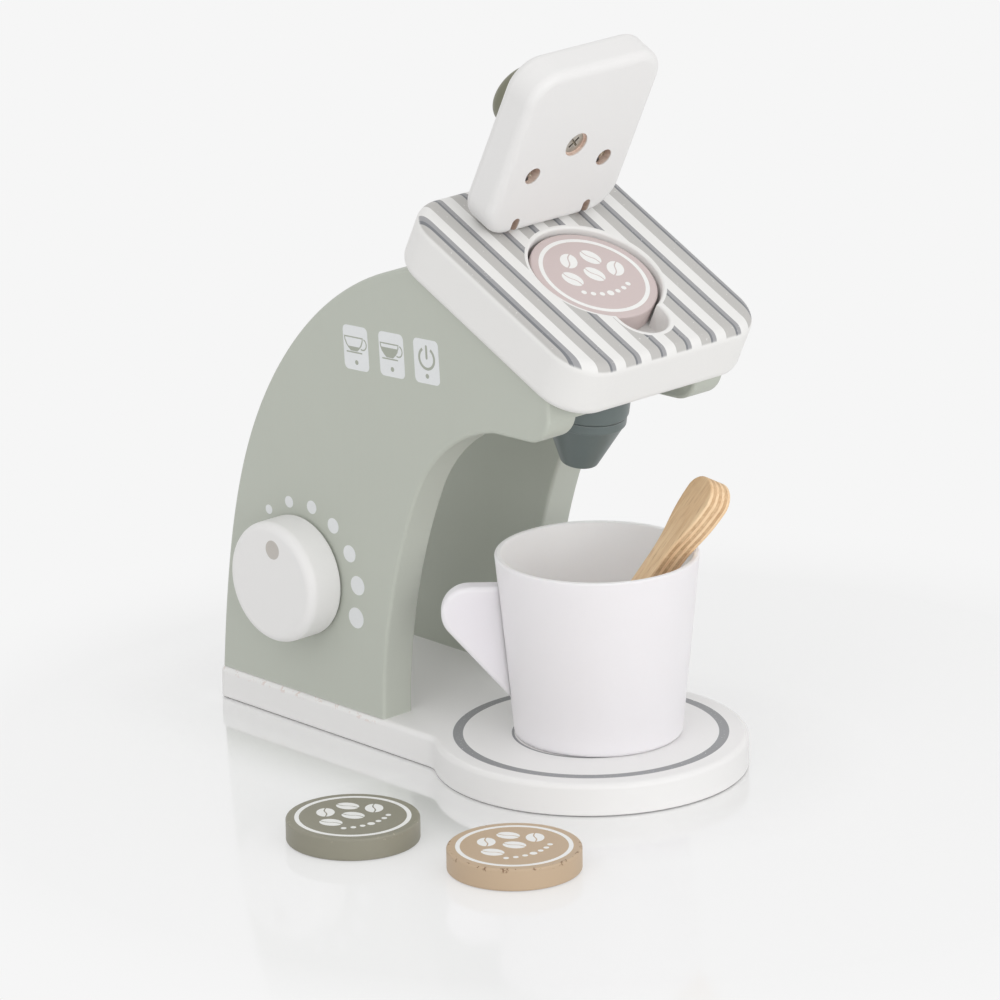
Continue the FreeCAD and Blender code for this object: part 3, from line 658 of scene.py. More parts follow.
@dataclass(frozen=True)
class LidPaint(Paint):
    """The lid's paint, with bare wood inside its knot holes, slots and counterbore.

    Attributes:
        knot_hole: A knot hole's radius, in millimetres.
        sink: The counterbore's height over the board and its radius.
        slot_half: Half a cord slot's width.
        slot_end: The heights over the board between which a slot ends.
        drilled: From where to where along the board the drillings reach.
    """

    knot_hole: float = 2.94
    sink: Point = (30.5, 4.24)
    slot_half: float = 1.54
    slot_end: Point = (6.28, 6.22)
    drilled: Point = (19.5, 26.5)

    def layers(self, graph: Graph, place: Socket, colour: Socket) -> Socket:
        """Bares the walls of the drillings.

        Args:
            graph: The material's graph.
            place: The point's place.
            colour: The paint's colour.

        Returns:
            The colour with its bare places.
        """
        own = graph.effect(Effect.SLOPE, Vector=place).outputs[0]
        x, y, z = graph.split(own)
        flat = graph.join(graph.size(x), z, 0.0)
        knot = graph.hole(flat, (CORD_X, KNOT_HIGH), self.knot_hole)
        sink = graph.hole(flat, (0.0, self.sink[0]), self.sink[1])
        beside = graph.minus(graph.size(x), CORD_X * MM)
        slot = graph.span(beside, -self.slot_half * MM, self.slot_half * MM, HOLE_SOFT)
        slot = graph.times(slot, graph.past(z, *self.slot_end))
        across = graph.larger(graph.minus(y, CORD_LINE * MM), 0.0)
        round_end = graph.reach(beside, across)
        slot = graph.times(slot, graph.past(round_end, self.slot_half + 0.04, self.slot_half))
        inside = graph.span(y, self.drilled[0] * MM, self.drilled[1] * MM, 0.3 * MM)
        holes = graph.larger(graph.larger(knot, slot), sink)
        return graph.mix(graph.times(holes, inside), colour, raw_wood(graph, place))


@dataclass(frozen=True)
class CupPaint(Paint):
    """The cup's finish, with painted light: its inside is painted a shade paler to stand in for the light
    that brightens it.

    Attributes:
        middle: The cup's axis, in millimetres.
        foot: The height and the radius halfway through its wall at the foot.
        spread: How much that radius grows for each millimetre of height.
        inner: The paler colour painted inside as painted light.
    """

    middle: Point = (2.4, -0.9)
    foot: Point = (10.0, 24.7)
    spread: float = 0.0962
    inner: Shade = (253, 251, 253)

    def layers(self, graph: Graph, place: Socket, colour: Socket) -> Socket:
        """Paints light on the inside as a paler colour.

        Args:
            graph: The material's graph.
            place: The point's place.
            colour: The paint's colour.

        Returns:
            The colour with its inside painted paler, as painted light.
        """
        z = graph.split(place)[2]
        centre = (self.middle[0] * MM, self.middle[1] * MM, 0.0)
        high = graph.minus(z, self.foot[0] * MM)
        wall = graph.plus(graph.times(high, self.spread), self.foot[1] * MM)
        depth = graph.minus(wall, graph.away(place, centre))
        # Painted light: the inside is painted paler than the outside.
        return graph.mix(graph.past(depth, -0.1, 0.1), colour, linear(self.inner))


@dataclass(frozen=True)
class PodPaint(Paint):
    """A loose pod's paint, with flakes off its upper edge.

    Attributes:
        middle: The pod's axis, in millimetres.
        rim: The radius inside which nothing flakes.
        worn: How much of the edge is flaked, from 0 to 1.
    """

    middle: Point = (0.0, 0.0)
    rim: float = 19.1
    worn: float = 0.5

    def layers(self, graph: Graph, place: Socket, colour: Socket) -> Socket:
        """Flakes the paint off the upper edge.

        Args:
            graph: The material's graph.
            place: The point's place.
            colour: The paint's colour.

        Returns:
            The colour with its flakes.
        """
        outside = graph.ring(place, self.middle, self.rim, 40.0, 0.1 * MM)
        high = graph.past(graph.split(place)[2], 5.5, 6.2)
        limit = 0.66 - 0.1 * self.worn
        flake = graph.rise(graph.noise(place, 560.0, 4.0, 0.7), limit, limit + 0.03)
        mask = graph.times(graph.times(outside, high), flake)
        return graph.mix(mask, colour, linear(self.bare))


@dataclass(frozen=True)
class Timber:
    """Bare wood, such as a dowel's.

    Attributes:
        name: The finish's name.
        light: The colour of its early wood.
        dark: The colour of its late wood.
        origin: Where its own frame stands, in metres.
        turn: How its own frame is turned; its grain runs along that frame's Y.
    """

    name: str
    light: Shade
    dark: Shade
    origin: Triple = (0.0, 0.0, 0.0)
    turn: Triple = (0.0, 0.0, math.pi / 2)

    def colour(self, graph: Graph, own: Socket) -> tuple[Socket, Socket]:
        """Gives the wood's colour and height in its own frame."""
        grain = graph.grain(own, self.light, self.dark)
        return grain["Colour"], grain["Height"]

    def build(self) -> bpy.types.Material:
        """Builds the material.

        Returns:
            The finished material.
        """
        material, graph, shader = new_material(self.name)
        own = graph.local(graph.place(), self.origin, self.turn)
        colour, height = self.colour(graph, own)
        graph.surface(shader, colour, graph.plus(graph.times(height, 0.2), 0.5), height, 0.05 * MM)
        return material


@dataclass(frozen=True)
class Plywood(Timber):
    """The stirrer's plywood, with layers of long and end grain across its thickness.

    Attributes:
        thick: The plate's thickness, in millimetres.
        layers: How many layers it is glued from.
        end_light: The colour of an end-grain layer.
        end_dark: The colour of that layer's pores.
        glue: The colour of the glue lines.
    """

    thick: float = 8.2
    layers: int = 7
    end_light: Shade = (226, 193, 152)
    end_dark: Shade = (198, 158, 116)
    glue: Shade = (166, 126, 90)

    def colour(self, graph: Graph, own: Socket) -> tuple[Socket, Socket]:
        """Gives the plies' colour and height.

        Args:
            graph: The material's graph.
            own: The place in the stirrer's frame.

        Returns:
            The colour's socket and the height's.
        """
        x, y, z = graph.split(own)
        wave = graph.swing(graph.noise(own, 60.0, 1.0), 0.5 * MM)
        depth = graph.plus(graph.plus(z, wave), self.thick * 0.47 * MM)
        turns = graph.maths("DIVIDE", depth, self.thick / self.layers * 2.0 * MM)
        phase = graph.maths("FRACT", turns)
        crossing = graph.span(phase, 0.5, 1.0, 0.02)
        glued = graph.span(graph.maths("PINGPONG", phase, 0.5), 0.455, 0.6, 0.02)
        grain = graph.grain(own, self.light, self.dark)
        end = graph.grain(graph.join(y, x, z), self.end_light, self.end_dark, 0.8)
        colour = graph.mix(crossing, grain["Colour"], end["Colour"])
        return graph.mix(graph.times(glued, 0.4), colour, linear(self.glue)), grain["Height"]


@dataclass(frozen=True)
class Metal:
    """Turned and plated steel.

    Attributes:
        name: The finish's name.
        shade: Its colour as seen on a screen.
        roughness: How matt it is.
        dull: The colour of its dulled spots.
    """

    name: str
    shade: Shade
    roughness: float = 0.32
    dull: Shade = (120, 112, 102)

    def build(self) -> bpy.types.Material:
        """Builds the material.

        Returns:
            The finished material.
        """
        material, graph, shader = new_material(self.name)
        place = graph.place()
        fine = graph.noise(graph.vector("MULTIPLY", place, (1.0, 0.15, 1.0)), 2600.0, 3.0, 0.6)
        dull = graph.rise(graph.noise(place, 300.0, 3.0, 0.6), 0.45, 0.75)
        colour = graph.mix(graph.times(dull, 0.35), linear(self.shade), linear(self.dull))
        rough = graph.plus(graph.times(fine, 0.18), self.roughness - 0.06)
        rough = graph.plus(rough, graph.times(dull, 0.12), clamp=True)
        graph.feed(shader.inputs["Metallic"], 1.0)
        graph.surface(shader, colour, rough, fine, 0.008 * MM)
        return material


@dataclass(frozen=True)
class Ink:
    """A thin printed coat, with a faintly uneven lay-down.

    Attributes:
        name: The finish's name.
        shade: Its colour as seen on a screen.
        roughness: How matt it is.
    """

    name: str
    shade: Shade
    roughness: float = 0.5

    def build(self) -> bpy.types.Material:
        """Builds the material.

        Returns:
            The finished material.
        """
        material, graph, shader = new_material(self.name)
        place = graph.place()
        lay = graph.noise(place, 1100.0, 3.0, 0.6)
        cloud = graph.noise(place, 140.0, 2.0, 0.5)
        tone = graph.plus(graph.plus(graph.swing(lay, 0.07), 1.0), graph.swing(cloud, 0.05))
        rough = graph.plus(graph.times(cloud, 0.15), self.roughness - 0.07)
        graph.surface(shader, graph.tint(linear(self.shade), tone), rough, lay, 0.01 * MM)
        return material


@dataclass(frozen=True)
class Elastic:
    """The hinge cord's braided cover.

    Attributes:
        name: The finish's name.
        shade: Its colour as seen on a screen.
        dark: The painted shade in the grooves between its yarns.
        yarns: How closely its yarns lie, in radians a metre.
    """

    name: str
    shade: Shade
    dark: Shade
    yarns: float = 9000.0

    def build(self) -> bpy.types.Material:
        """Builds the material.

        Returns:
            The finished material.
        """
        material, graph, shader = new_material(self.name)
        place = graph.place()
        x, y, z = graph.split(place)
        slant = graph.maths("SINE", graph.times(graph.plus(z, x), self.yarns))
        back = graph.maths("SINE", graph.times(graph.minus(z, y), self.yarns))
        yarn = graph.rise(graph.times(slant, back), -0.5, 0.6)
        fuzz = graph.noise(place, 4200.0, 2.0, 0.6)
        tone = graph.times(yarn, graph.plus(graph.times(fuzz, 0.5), 0.6), clamp=True)
        # Painted shade: the grooves between the yarns are darkened.
        colour = graph.mix(tone, linear(self.dark), linear(self.shade))
        graph.surface(shader, colour, graph.minus(0.95, graph.times(yarn, 0.15)), tone, 0.06 * MM)
        return material


@dataclass(frozen=True)
class PrintPlane:
    """A flat face that takes a print.

    Attributes:
        middle: The print's middle in the row frame, in metres.
        right: The direction of the print's right.
        up: The direction of the print's top.
    """

    middle: Vector
    right: Vector
    up: Vector

    def at(self, x: float, y: float, lift: float) -> Vector:
        """Gives the point so many millimetres to the right, up and off the face, in metres."""
        off = self.right.cross(self.up)
        return self.middle + (self.right * x + self.up * y + off * lift) * MM


@dataclass
class Mould:
    """Collects closed forms into one mesh, and makes the piece."""

    mesh: bmesh.types.BMesh = field(default_factory=bmesh.new)

    def prism(self, outline: Sequence[Point], plane: PrintPlane, low: float, high: float) -> None:
        """Adds a closed flat solid.

        Args:
            outline: The solid's outline, anticlockwise, in millimetres.
            plane: The face that it lies on.
            low: Its underside, in millimetres off the face.
            high: Its top.
        """
        under = [self.mesh.verts.new(plane.at(x, y, low)) for x, y in outline]
        over = [self.mesh.verts.new(plane.at(x, y, high)) for x, y in outline]
        self.mesh.faces.new(over)
        self.mesh.faces.new(list(reversed(under)))
        count = len(outline)
        for i in range(count):
            j = (i + 1) % count
            self.mesh.faces.new((under[i], under[j], over[j], over[i]))

    def band(self, outer: Sequence[Point], inner: Sequence[Point], plane: PrintPlane,
             low: float, high: float) -> None:
        """Adds a closed flat frame between two outlines with as many points.

        Args:
            outer: The outer outline, anticlockwise, in millimetres.
            inner: The inner outline, point for point.
            plane: The face that it lies on.
            low: Its underside, in millimetres off the face.
            high: Its top.
        """
        rows = [[self.mesh.verts.new(plane.at(x, y, lift)) for x, y in line]
                for line, lift in ((outer, low), (outer, high), (inner, high), (inner, low))]
        count = len(outer)
        for first, second in zip(rows, rows[1:] + rows[:1]):
            for i in range(count):
                j = (i + 1) % count
                self.mesh.faces.new((first[i], first[j], second[j], second[i]))

    def tube(self, path: Sequence[Vector], radius: float, sides: int = 8, closed: bool = False) -> None:
        """Adds a round tube along points, with closed ends.

        Args:
            path: The points of its centre line, in metres.
            radius: Its radius, in metres.
            sides: How many sides its section has.
            closed: Whether it runs back into its start.
        """
        count = len(path)
        rings = []
        side = Vector((0.0, 0.0, 1.0))
        for i, point in enumerate(path):
            before = path[i - 1] if closed or i else point
            after = path[(i + 1) % count] if closed or i < count - 1 else point
            along = (after - before).normalized()
            if i == 0 and abs(side.dot(along)) > 0.9:
                side = Vector((1.0, 0.0, 0.0))
            side = (side - along * side.dot(along)).normalized()
            other = along.cross(side)
            turns = [2 * math.pi * k / sides for k in range(sides)]
            rings.append([self.mesh.verts.new(point + (side * math.cos(a) + other * math.sin(a)) * radius)
                          for a in turns])
        pairs = list(zip(rings, rings[1:]))
        if closed:
            pairs.append((rings[-1], rings[0]))
        for first, second in pairs:
            for k in range(sides):
                m = (k + 1) % sides
                self.mesh.faces.new((first[k], first[m], second[m], second[k]))
        if not closed:
            self.mesh.faces.new(list(reversed(rings[0])))
            self.mesh.faces.new(rings[-1])

    def piece(self, name: str, material: bpy.types.Material,
              smooth: bool = False) -> bpy.types.Object:
        """Makes the piece from what was added.

        Args:
            name: The piece's name.
            material: Its material.
            smooth: Whether its faces are shaded smoothly.

        Returns:
            The new object, in the row frame.
        """
        bmesh.ops.recalc_face_normals(self.mesh, faces=self.mesh.faces[:])
        data = bpy.data.meshes.new(name)
        self.mesh.to_mesh(data)
        self.mesh.free()
        if smooth:
            data.shade_smooth()
        data.materials.append(material)
        item = bpy.data.objects.new(name, data)
        bpy.context.scene.collection.objects.link(item)
        LOG.info("%s: %d faces", name, len(data.polygons))
        return item


def ellipse(x: float, y: float, wide: float, high: float, count: int) -> list[Point]:
    """Gives an ellipse's points, anticlockwise, from its centre, half width and half height."""
    turns = [2 * math.pi * i / count for i in range(count)]
    return [(x + wide * math.cos(a), y + high * math.sin(a)) for a in turns]


def rounded(wide: float, high: float, corner: float, x: float = 0.0, y: float = 0.0) -> list[Point]:
    """Gives a rounded rectangle's points.

    Args:
        wide: Its width.
        high: Its height.
        corner: Its corners' radius.
        x: Its centre to the right.
        y: Its centre up.

    Returns:
        Its points, anticlockwise.
    """
    points = []
    for quarter, (sx, sy) in enumerate(((1, 1), (-1, 1), (-1, -1), (1, -1))):
        cx = x + sx * (wide / 2 - corner)
        cy = y + sy * (high / 2 - corner)
        for step in range(7):
            a = math.pi / 2 * (quarter + step / 6)
            points.append((cx + corner * math.cos(a), cy + corner * math.sin(a)))
    return points


def stroke(path: Sequence[Point], width: float) -> list[Point]:
    """Gives the outline of a line of ink along a path.

    Args:
        path: The line's points.
        width: Its width.

    Returns:
        The outline's points, anticlockwise.
    """
    left, right = [], []
    for i, (x, y) in enumerate(path):
        x0, y0 = path[max(i - 1, 0)]
        x1, y1 = path[min(i + 1, len(path) - 1)]
        size = math.hypot(x1 - x0, y1 - y0)
        nx, ny = -(y1 - y0) / size * width / 2, (x1 - x0) / size * width / 2
        left.append((x + nx, y + ny))
        right.append((x - nx, y - ny))
    return right + left[::-1]


def arc(x: float, y: float, radius: float, start: float, end: float, count: int) -> list[Point]:
    """Gives an arc's points about its centre, from one angle to another, in degrees."""
    turns = [math.radians(start + (end - start) * i / (count - 1)) for i in range(count)]
    return [(x + radius * math.cos(a), y + radius * math.sin(a)) for a in turns]


def side_plane(face: float, place: Point) -> PrintPlane:
    """Gives the plane of a print on the left side, at a place to the rear and up, in millimetres."""
    middle = Vector((face, place[0], place[1])) * MM
    return PrintPlane(middle, Vector((0.0, -1.0, 0.0)), Vector((0.0, 0.0, 1.0)))


@dataclass
class Finishes:
    """All finishes of the toy, each built into its material once."""

    # Each paint's thin sets how strongly a painted highlight lightens its edges.
    white: Paint = Paint("white_satin_paint", (233, 232, 231), drift=0.012)
    base: BasePaint = BasePaint("base_paint", (235, 234, 233), drift=0.012, stretch=ALONG_Y, chips=0.76,
                                bare=(214, 190, 180))
    head: HeadPaint = HeadPaint("striped_head_paint", (232, 231, 229), drift=0.012, stretch=ALONG_Y)
    lid: LidPaint = LidPaint("lid_paint", (230, 229, 228), drift=0.012, chips=0.6)
    sage: Paint = Paint("sage_paint_coat", (187, 191, 181), drift=0.035, thin=0.16)
    olive: Paint = Paint("olive_paint_coat", (122, 122, 104), drift=0.05, roughness=0.4)
    slate: Paint = Paint("slate_paint_coat", (101, 111, 110), drift=0.06, roughness=0.36, thin=0.06)
    # The cup's inside is painted paler, as painted light.
    cup: CupPaint = CupPaint("cup_paint", (239, 236, 240), drift=0.008, roughness=0.42, thin=0.05,
                             depth=4.0 * MM)
    pink: Paint = Paint("pink_pod_paint", (205, 190, 188), drift=0.03, stretch=ALONG_Y, thin=0.06)
    green: PodPaint = PodPaint("green_pod_paint", (143, 140, 125), drift=0.04, stretch=ALONG_Y, thin=0.08,
                               bare=(172, 166, 148), middle=GREEN_PLACE, worn=0.3)
    tan: PodPaint = PodPaint("tan_pod_paint", (192, 169, 142), drift=0.03, stretch=ALONG_Y, thin=0.06,
                             bare=(132, 104, 78), middle=TAN_PLACE, worn=0.8)
    beech: Timber = Timber("beech_dowel", (214, 184, 146), (182, 146, 106))
    steel: Metal = Metal("plated_screw_steel", (196, 190, 180))
    # The cord's darker colour is painted shade between its yarns.
    cord: Elastic = Elastic("braided_elastic", (214, 200, 180), (120, 98, 78))
    plate_ink: Ink = Ink("pale_print", (226, 228, 229))
    sage_ink: Ink = Ink("sage_print", (166, 170, 158))
    pod_ink: Ink = Ink("white_pod_print", (238, 238, 236))
    pointer_ink: Ink = Ink("pointer_print", (192, 187, 181))
    made: dict[str, bpy.types.Material] = field(default_factory=dict)

    def get(self, finish: Any) -> bpy.types.Material:
        """Gives a finish's material, and builds it the first time."""
        if finish.name not in self.made:
            self.made[finish.name] = finish.build()
        return self.made[finish.name]


def dress(nodes: Iterable[str], material: bpy.types.Material) -> None:
    """Gives carried-over solids their finish.

    Args:
        nodes: The names of the solids.
        material: The finish's material.
    """
    for name in nodes:
        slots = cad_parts[name].data.materials
        for index in range(len(slots)):
            slots[index] = material
        LOG.info("%s wears %s", name, material.name)


@dataclass
class Machine:
    """The base plate, the two side panels, the head board and the nozzle.

    Attributes:
        panel_face: The left panel's outer face, in millimetres.
        button_wide: A printed button's width.
        button_high: Its height.
        button_corner: Its corners' radius.
        button_tilt: How far the row of buttons rises to the front, in degrees.
        button_places: The buttons' middles, to the rear and up.
        dial_middle: The dial's middle, to the rear and up.
        dial_dots: Each dot's angle from the front, distance and diameter.
    """

    finishes: Finishes
    panel_face: float = -36.7
    button_wide: float = 10.9
    button_high: float = 13.8
    button_corner: float = 1.7
    button_tilt: float = 3.7
    button_places: tuple[Point, ...] = ((62.45, 126.6), (46.6, 127.75), (31.25, 128.85))
    dial_middle: Point = (90.2, 47.9)
    dial_dots: tuple[tuple[float, float, float], ...] = (
        (126.0, 22.7, 3.0), (100.0, 23.2, 3.7), (75.0, 24.2, 4.25), (51.0, 25.2, 4.9), (28.0, 26.1, 5.4),
        (6.0, 26.6, 6.1), (-17.0, 26.7, 6.6))

    def build(self) -> None:
        """Dresses the solids and lays the prints."""
        get = self.finishes.get
        dress(("base_plate",), get(self.finishes.base))
        dress(("left_side_panel", "right_side_panel", "cross_block"), get(self.finishes.sage))
        dress(("head_board",), get(self.finishes.head))
        dress(("nozzle", "nozzle_boss"), get(self.finishes.slate))
        dress(("panel_screws", "head_screws", "nozzle_screw"), get(self.finishes.steel))
        dress(("panel_dowels", "cross_block_dowels"), get(self.finishes.beech))
        for number, place in enumerate(self.button_places):
            self.button(number, place)
        self.dots()

    def button_plane(self, place: Point) -> PrintPlane:
        """Gives the plane of a button's print, with its right to the machine's front."""
        tilt = math.radians(self.button_tilt)
        middle = Vector((self.panel_face, place[0], place[1])) * MM
        return PrintPlane(middle, Vector((0.0, -math.cos(tilt), math.sin(tilt))),
                          Vector((0.0, math.sin(tilt), math.cos(tilt))))

    def button(self, number: int, place: Point) -> None:
        """Prints one button: a pale plate with its picture and a dot.

        Args:
            number: The button's number from the rear.
            place: The button's middle.
        """
        get = self.finishes.get
        plane = self.button_plane(place)
        plate = Mould()
        plate.prism(rounded(self.button_wide, self.button_high, self.button_corner), plane, *FLAT)
        item = plate.piece(f"button_plate_{number + 1}", get(self.finishes.plate_ink))
        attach(item, Body.MACHINE.value)
        picture = Mould()
        picture.prism(ellipse(0.0, -4.5, 0.75, 0.75, 20), plane, *RAISED)
        if number == 2:
            self.power(picture, plane)
        else:
            self.cup_picture(picture, plane, full=number == 1)
        item = picture.piece(f"button_picture_{number + 1}", get(self.finishes.sage_ink))
        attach(item, Body.MACHINE.value)

    @staticmethod
    def power(picture: Mould, plane: PrintPlane) -> None:
        """Draws an open ring with an upright bar."""
        picture.prism(stroke(arc(0.15, 1.0, 3.25, 122.0, 418.0, 40), 0.85), plane, *RAISED)
        picture.prism(rounded(0.85, 4.4, 0.4, 0.15, 2.9), plane, *RAISED)

    @staticmethod
    def cup_picture(picture: Mould, plane: PrintPlane, full: bool) -> None:
        """Draws a cup on a saucer, part or quite full.

        Args:
            picture: The mould that takes it.
            plane: The button's plane.
            full: Whether the cup is drawn full.
        """
        outer = [(-5.0, 3.5), (-4.9, 2.3), (-4.3, 0.9), (-3.4, -0.1), (-2.3, -1.0), (0.6, -1.0),
                 (1.7, -0.1), (2.6, 0.9), (3.2, 2.3), (3.3, 3.5)]
        inner = [(-4.6, 3.1), (-4.5, 2.4), (-3.95, 1.15), (-3.15, 0.2), (-2.15, -0.6), (0.45, -0.6),
                 (1.4, 0.2), (2.2, 1.15), (2.8, 2.4), (2.9, 3.1)]
        picture.band(outer, inner, plane, *RAISED)
        level = 2.05 if full else 0.35
        filling = [(x, y) for x, y in inner if y < level - 0.1]
        left = -4.35 if full else -3.25
        filling = [(left, level)] + filling + [(-1.7 - left, level)]
        picture.prism(filling, plane, *RAISED)
        picture.prism(stroke(arc(3.0, 1.45, 1.75, 68.0, -118.0, 20), 0.42), plane, *RAISED)
        picture.prism(rounded(7.0, 0.42, 0.2, -0.75, -1.42), plane, *RAISED)

    def dots(self) -> None:
        """Prints the dots round the dial, growing along the scale."""
        plane = side_plane(self.panel_face, self.dial_middle)
        mould = Mould()
        for angle, distance, size in self.dial_dots:
            turn = math.radians(angle)
            spot = ellipse(distance * math.cos(turn), distance * math.sin(turn), size / 2, size / 2, 32)
            mould.prism(spot, plane, *FLAT)
        item = mould.piece("dial_scale_dots", self.finishes.get(self.finishes.plate_ink))
        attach(item, Body.MACHINE.value)


@dataclass
class Lid:
    """The open lid with its knob and screw, and the two elastic hinge cords.

    Attributes:
        cord_offset: How far each cord stands from the middle, in millimetres.
        cord_line: The cords' place along the head board.
        knot_high: The upper knot's height over the board.
        knot_low: The lower knot's place under the board's top.
        strand: One strand's radius.
        twist: The radius on which the strands are twisted.
        lay: The length of one turn of the twist.
        bend_half: Half the length of cord at the hinge; not used.
        bend_middle: The hinge's height over the board; not used.
        knot_size: A third of a knot's radius.
        knot_thick: The radius of the cord in a knot.
        tail: The points of a knot's cut end.
        tail_thick: That end's radius.
    """

    finishes: Finishes
    cord_offset: float = CORD_X
    cord_line: float = CORD_LINE
    knot_high: float = KNOT_HIGH
    knot_low: float = -16.5
    strand: float = 0.44
    twist: float = 0.48
    lay: float = 4.6
    bend_half: float = 2.6
    bend_middle: float = 0.15
    knot_size: float = 0.44
    knot_thick: float = 0.66
    tail: tuple[Triple, ...] = ((0.55, -0.5, 0.2), (0.8, -1.1, 0.3), (0.75, -1.6, 0.2))
    tail_thick: float = 0.5

    def build(self) -> None:
        """Dresses the solids and makes the cords."""
        get = self.finishes.get
        dress(("lid",), get(self.finishes.lid))
        dress(("lid_knob",), get(self.finishes.olive))
        dress(("lid_screw",), get(self.finishes.steel))
        for side, name in ((-1, "hinge_cord_left"), (1, "hinge_cord_right")):
            self.cord(side, name)

    def strands(self, mould: Mould, x: float) -> None:
        """Adds three strands twisted about the cord's line.

        Args:
            mould: The mould that takes them.
            x: The cord's place across the board.
        """
        low, high = self.knot_low + 0.8, self.knot_high - 0.8
        steps = 150
        for number in range(3):
            path = []
            for i in range(steps + 1):
                z = low + (high - low) * i / steps
                a = 2 * math.pi * (z / self.lay + number / 3)
                y = self.cord_line + self.twist * math.sin(a)
                path.append(HEAD_MATRIX @ (Vector((x + self.twist * math.cos(a), y, z)) * MM))
            mould.tube(path, self.strand * MM, 7)

    def knot(self, mould: Mould, x: float, z: float, turn: float) -> None:
        """Adds a pulled-tight knot with its cut end.

        Args:
            mould: The mould that takes it.
            x: The cord's place across the board.
            z: The knot's place over the board.
            turn: How the knot is turned about the cord, in radians.
        """
        heart = Matrix.Translation(Vector((x, self.cord_line, z)) * MM)
        own = HEAD_MATRIX @ heart @ Matrix.Rotation(turn, 4, "Z")
        count = 84
        path = []
        for i in range(count):
            t = 2 * math.pi * i / count
            point = Vector((math.sin(t) + 2 * math.sin(2 * t), math.cos(t) - 2 * math.cos(2 * t),
                            -1.5 * math.sin(3 * t)))
            path.append(own @ (point * self.knot_size * MM))
        mould.tube(path, self.knot_thick * MM, 9, closed=True)
        way = 1.0 if z < 0 else -1.0
        lift = Vector((0.0, -0.35, 0.0)) if z > 0 else Vector((0.0, 0.0, -0.2))
        tail = [own @ ((Vector((across, along, high * way)) + lift * k) * MM)
                for k, (across, along, high) in enumerate(self.tail)]
        mould.tube(tail, self.tail_thick * MM, 8)

    def cord(self, side: int, name: str) -> None:
        """Makes one hinge cord, which runs straight from its lower knot to its upper one.

        Args:
            side: Minus 1 for the left cord and 1 for the right.
            name: The piece's name.
        """
        mould = Mould()
        x = side * self.cord_offset
        self.strands(mould, x)
        self.knot(mould, x, self.knot_high, 0.5 * side)
        self.knot(mould, x, self.knot_low, 1.2)
        item = mould.piece(name, self.finishes.get(self.finishes.cord), smooth=True)
        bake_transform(item)
        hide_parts("lid_cords", "head_cords")


@dataclass
class Dial:
    """The dial with its printed pointer.

    Attributes:
        face: The dial's outer face, in millimetres.
        pointer: The pointer dot's place, to the rear and up.
        pointer_size: Its diameter.
    """

    finishes: Finishes
    face: float = -49.6
    pointer: Point = (88.0, 59.6)
    pointer_size: float = 6.0

    def build(self) -> None:
        """Dresses the solids and prints the pointer."""
        get = self.finishes.get
        dress(("dial_knob",), get(self.finishes.white))
        dress(("dial_washer", "dial_screw"), get(self.finishes.steel))
        mould = Mould()
        half = self.pointer_size / 2
        mould.prism(ellipse(0.0, 0.0, half, half, 40), side_plane(self.face, self.pointer), *FLAT)
        item = mould.piece("dial_pointer", get(self.finishes.pointer_ink))
        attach(item, Body.DIAL.value)


@dataclass
class CupAndStirrer:
    """The cup with its handle, and the plywood stirrer that leans in it.

    Attributes:
        cup_middle: The point of the cup's axis at the height of the stirrer's foot, in millimetres.
        foot: How far the stirrer's foot stands from that point.
        turn: The lean's direction about the vertical, in degrees.
        lean: How far the stirrer leans.
        roll: How far it is turned about its own length.
    """

    finishes: Finishes
    cup_middle: Triple = (2.4, -0.9, 16.8)
    foot: float = -11.0
    turn: float = -43.45
    lean: float = 33.6
    roll: float = -60.0

    def stirrer_frame(self) -> Matrix:
        """Gives the stirrer's own frame: X across, Y along and Z through its thickness.

        Returns:
            The frame's matrix, in metres.
        """
        turn = Matrix.Rotation(math.radians(self.turn), 4, "Z")
        lean = Matrix.Rotation(math.radians(self.lean), 4, "Y")
        roll = Matrix.Rotation(math.radians(self.roll), 4, "Z")
        upright = Matrix.Rotation(math.radians(90.0), 4, "X")
        foot = turn @ Vector((self.foot, 0.0, 0.0)) + Vector(self.cup_middle)
        return Matrix.Translation(foot * MM) @ turn @ lean @ roll @ upright

    def build(self) -> None:
        """Dresses the solids."""
        dress(("cup", "cup_handle"), self.finishes.get(self.finishes.cup))
        place = self.stirrer_frame()
        plies = Plywood("stirrer_plywood", (248, 218, 178), (230, 192, 148),
                        tuple(place.translation), tuple(place.to_euler("XYZ")))
        dress(("spoon",), self.finishes.get(plies))


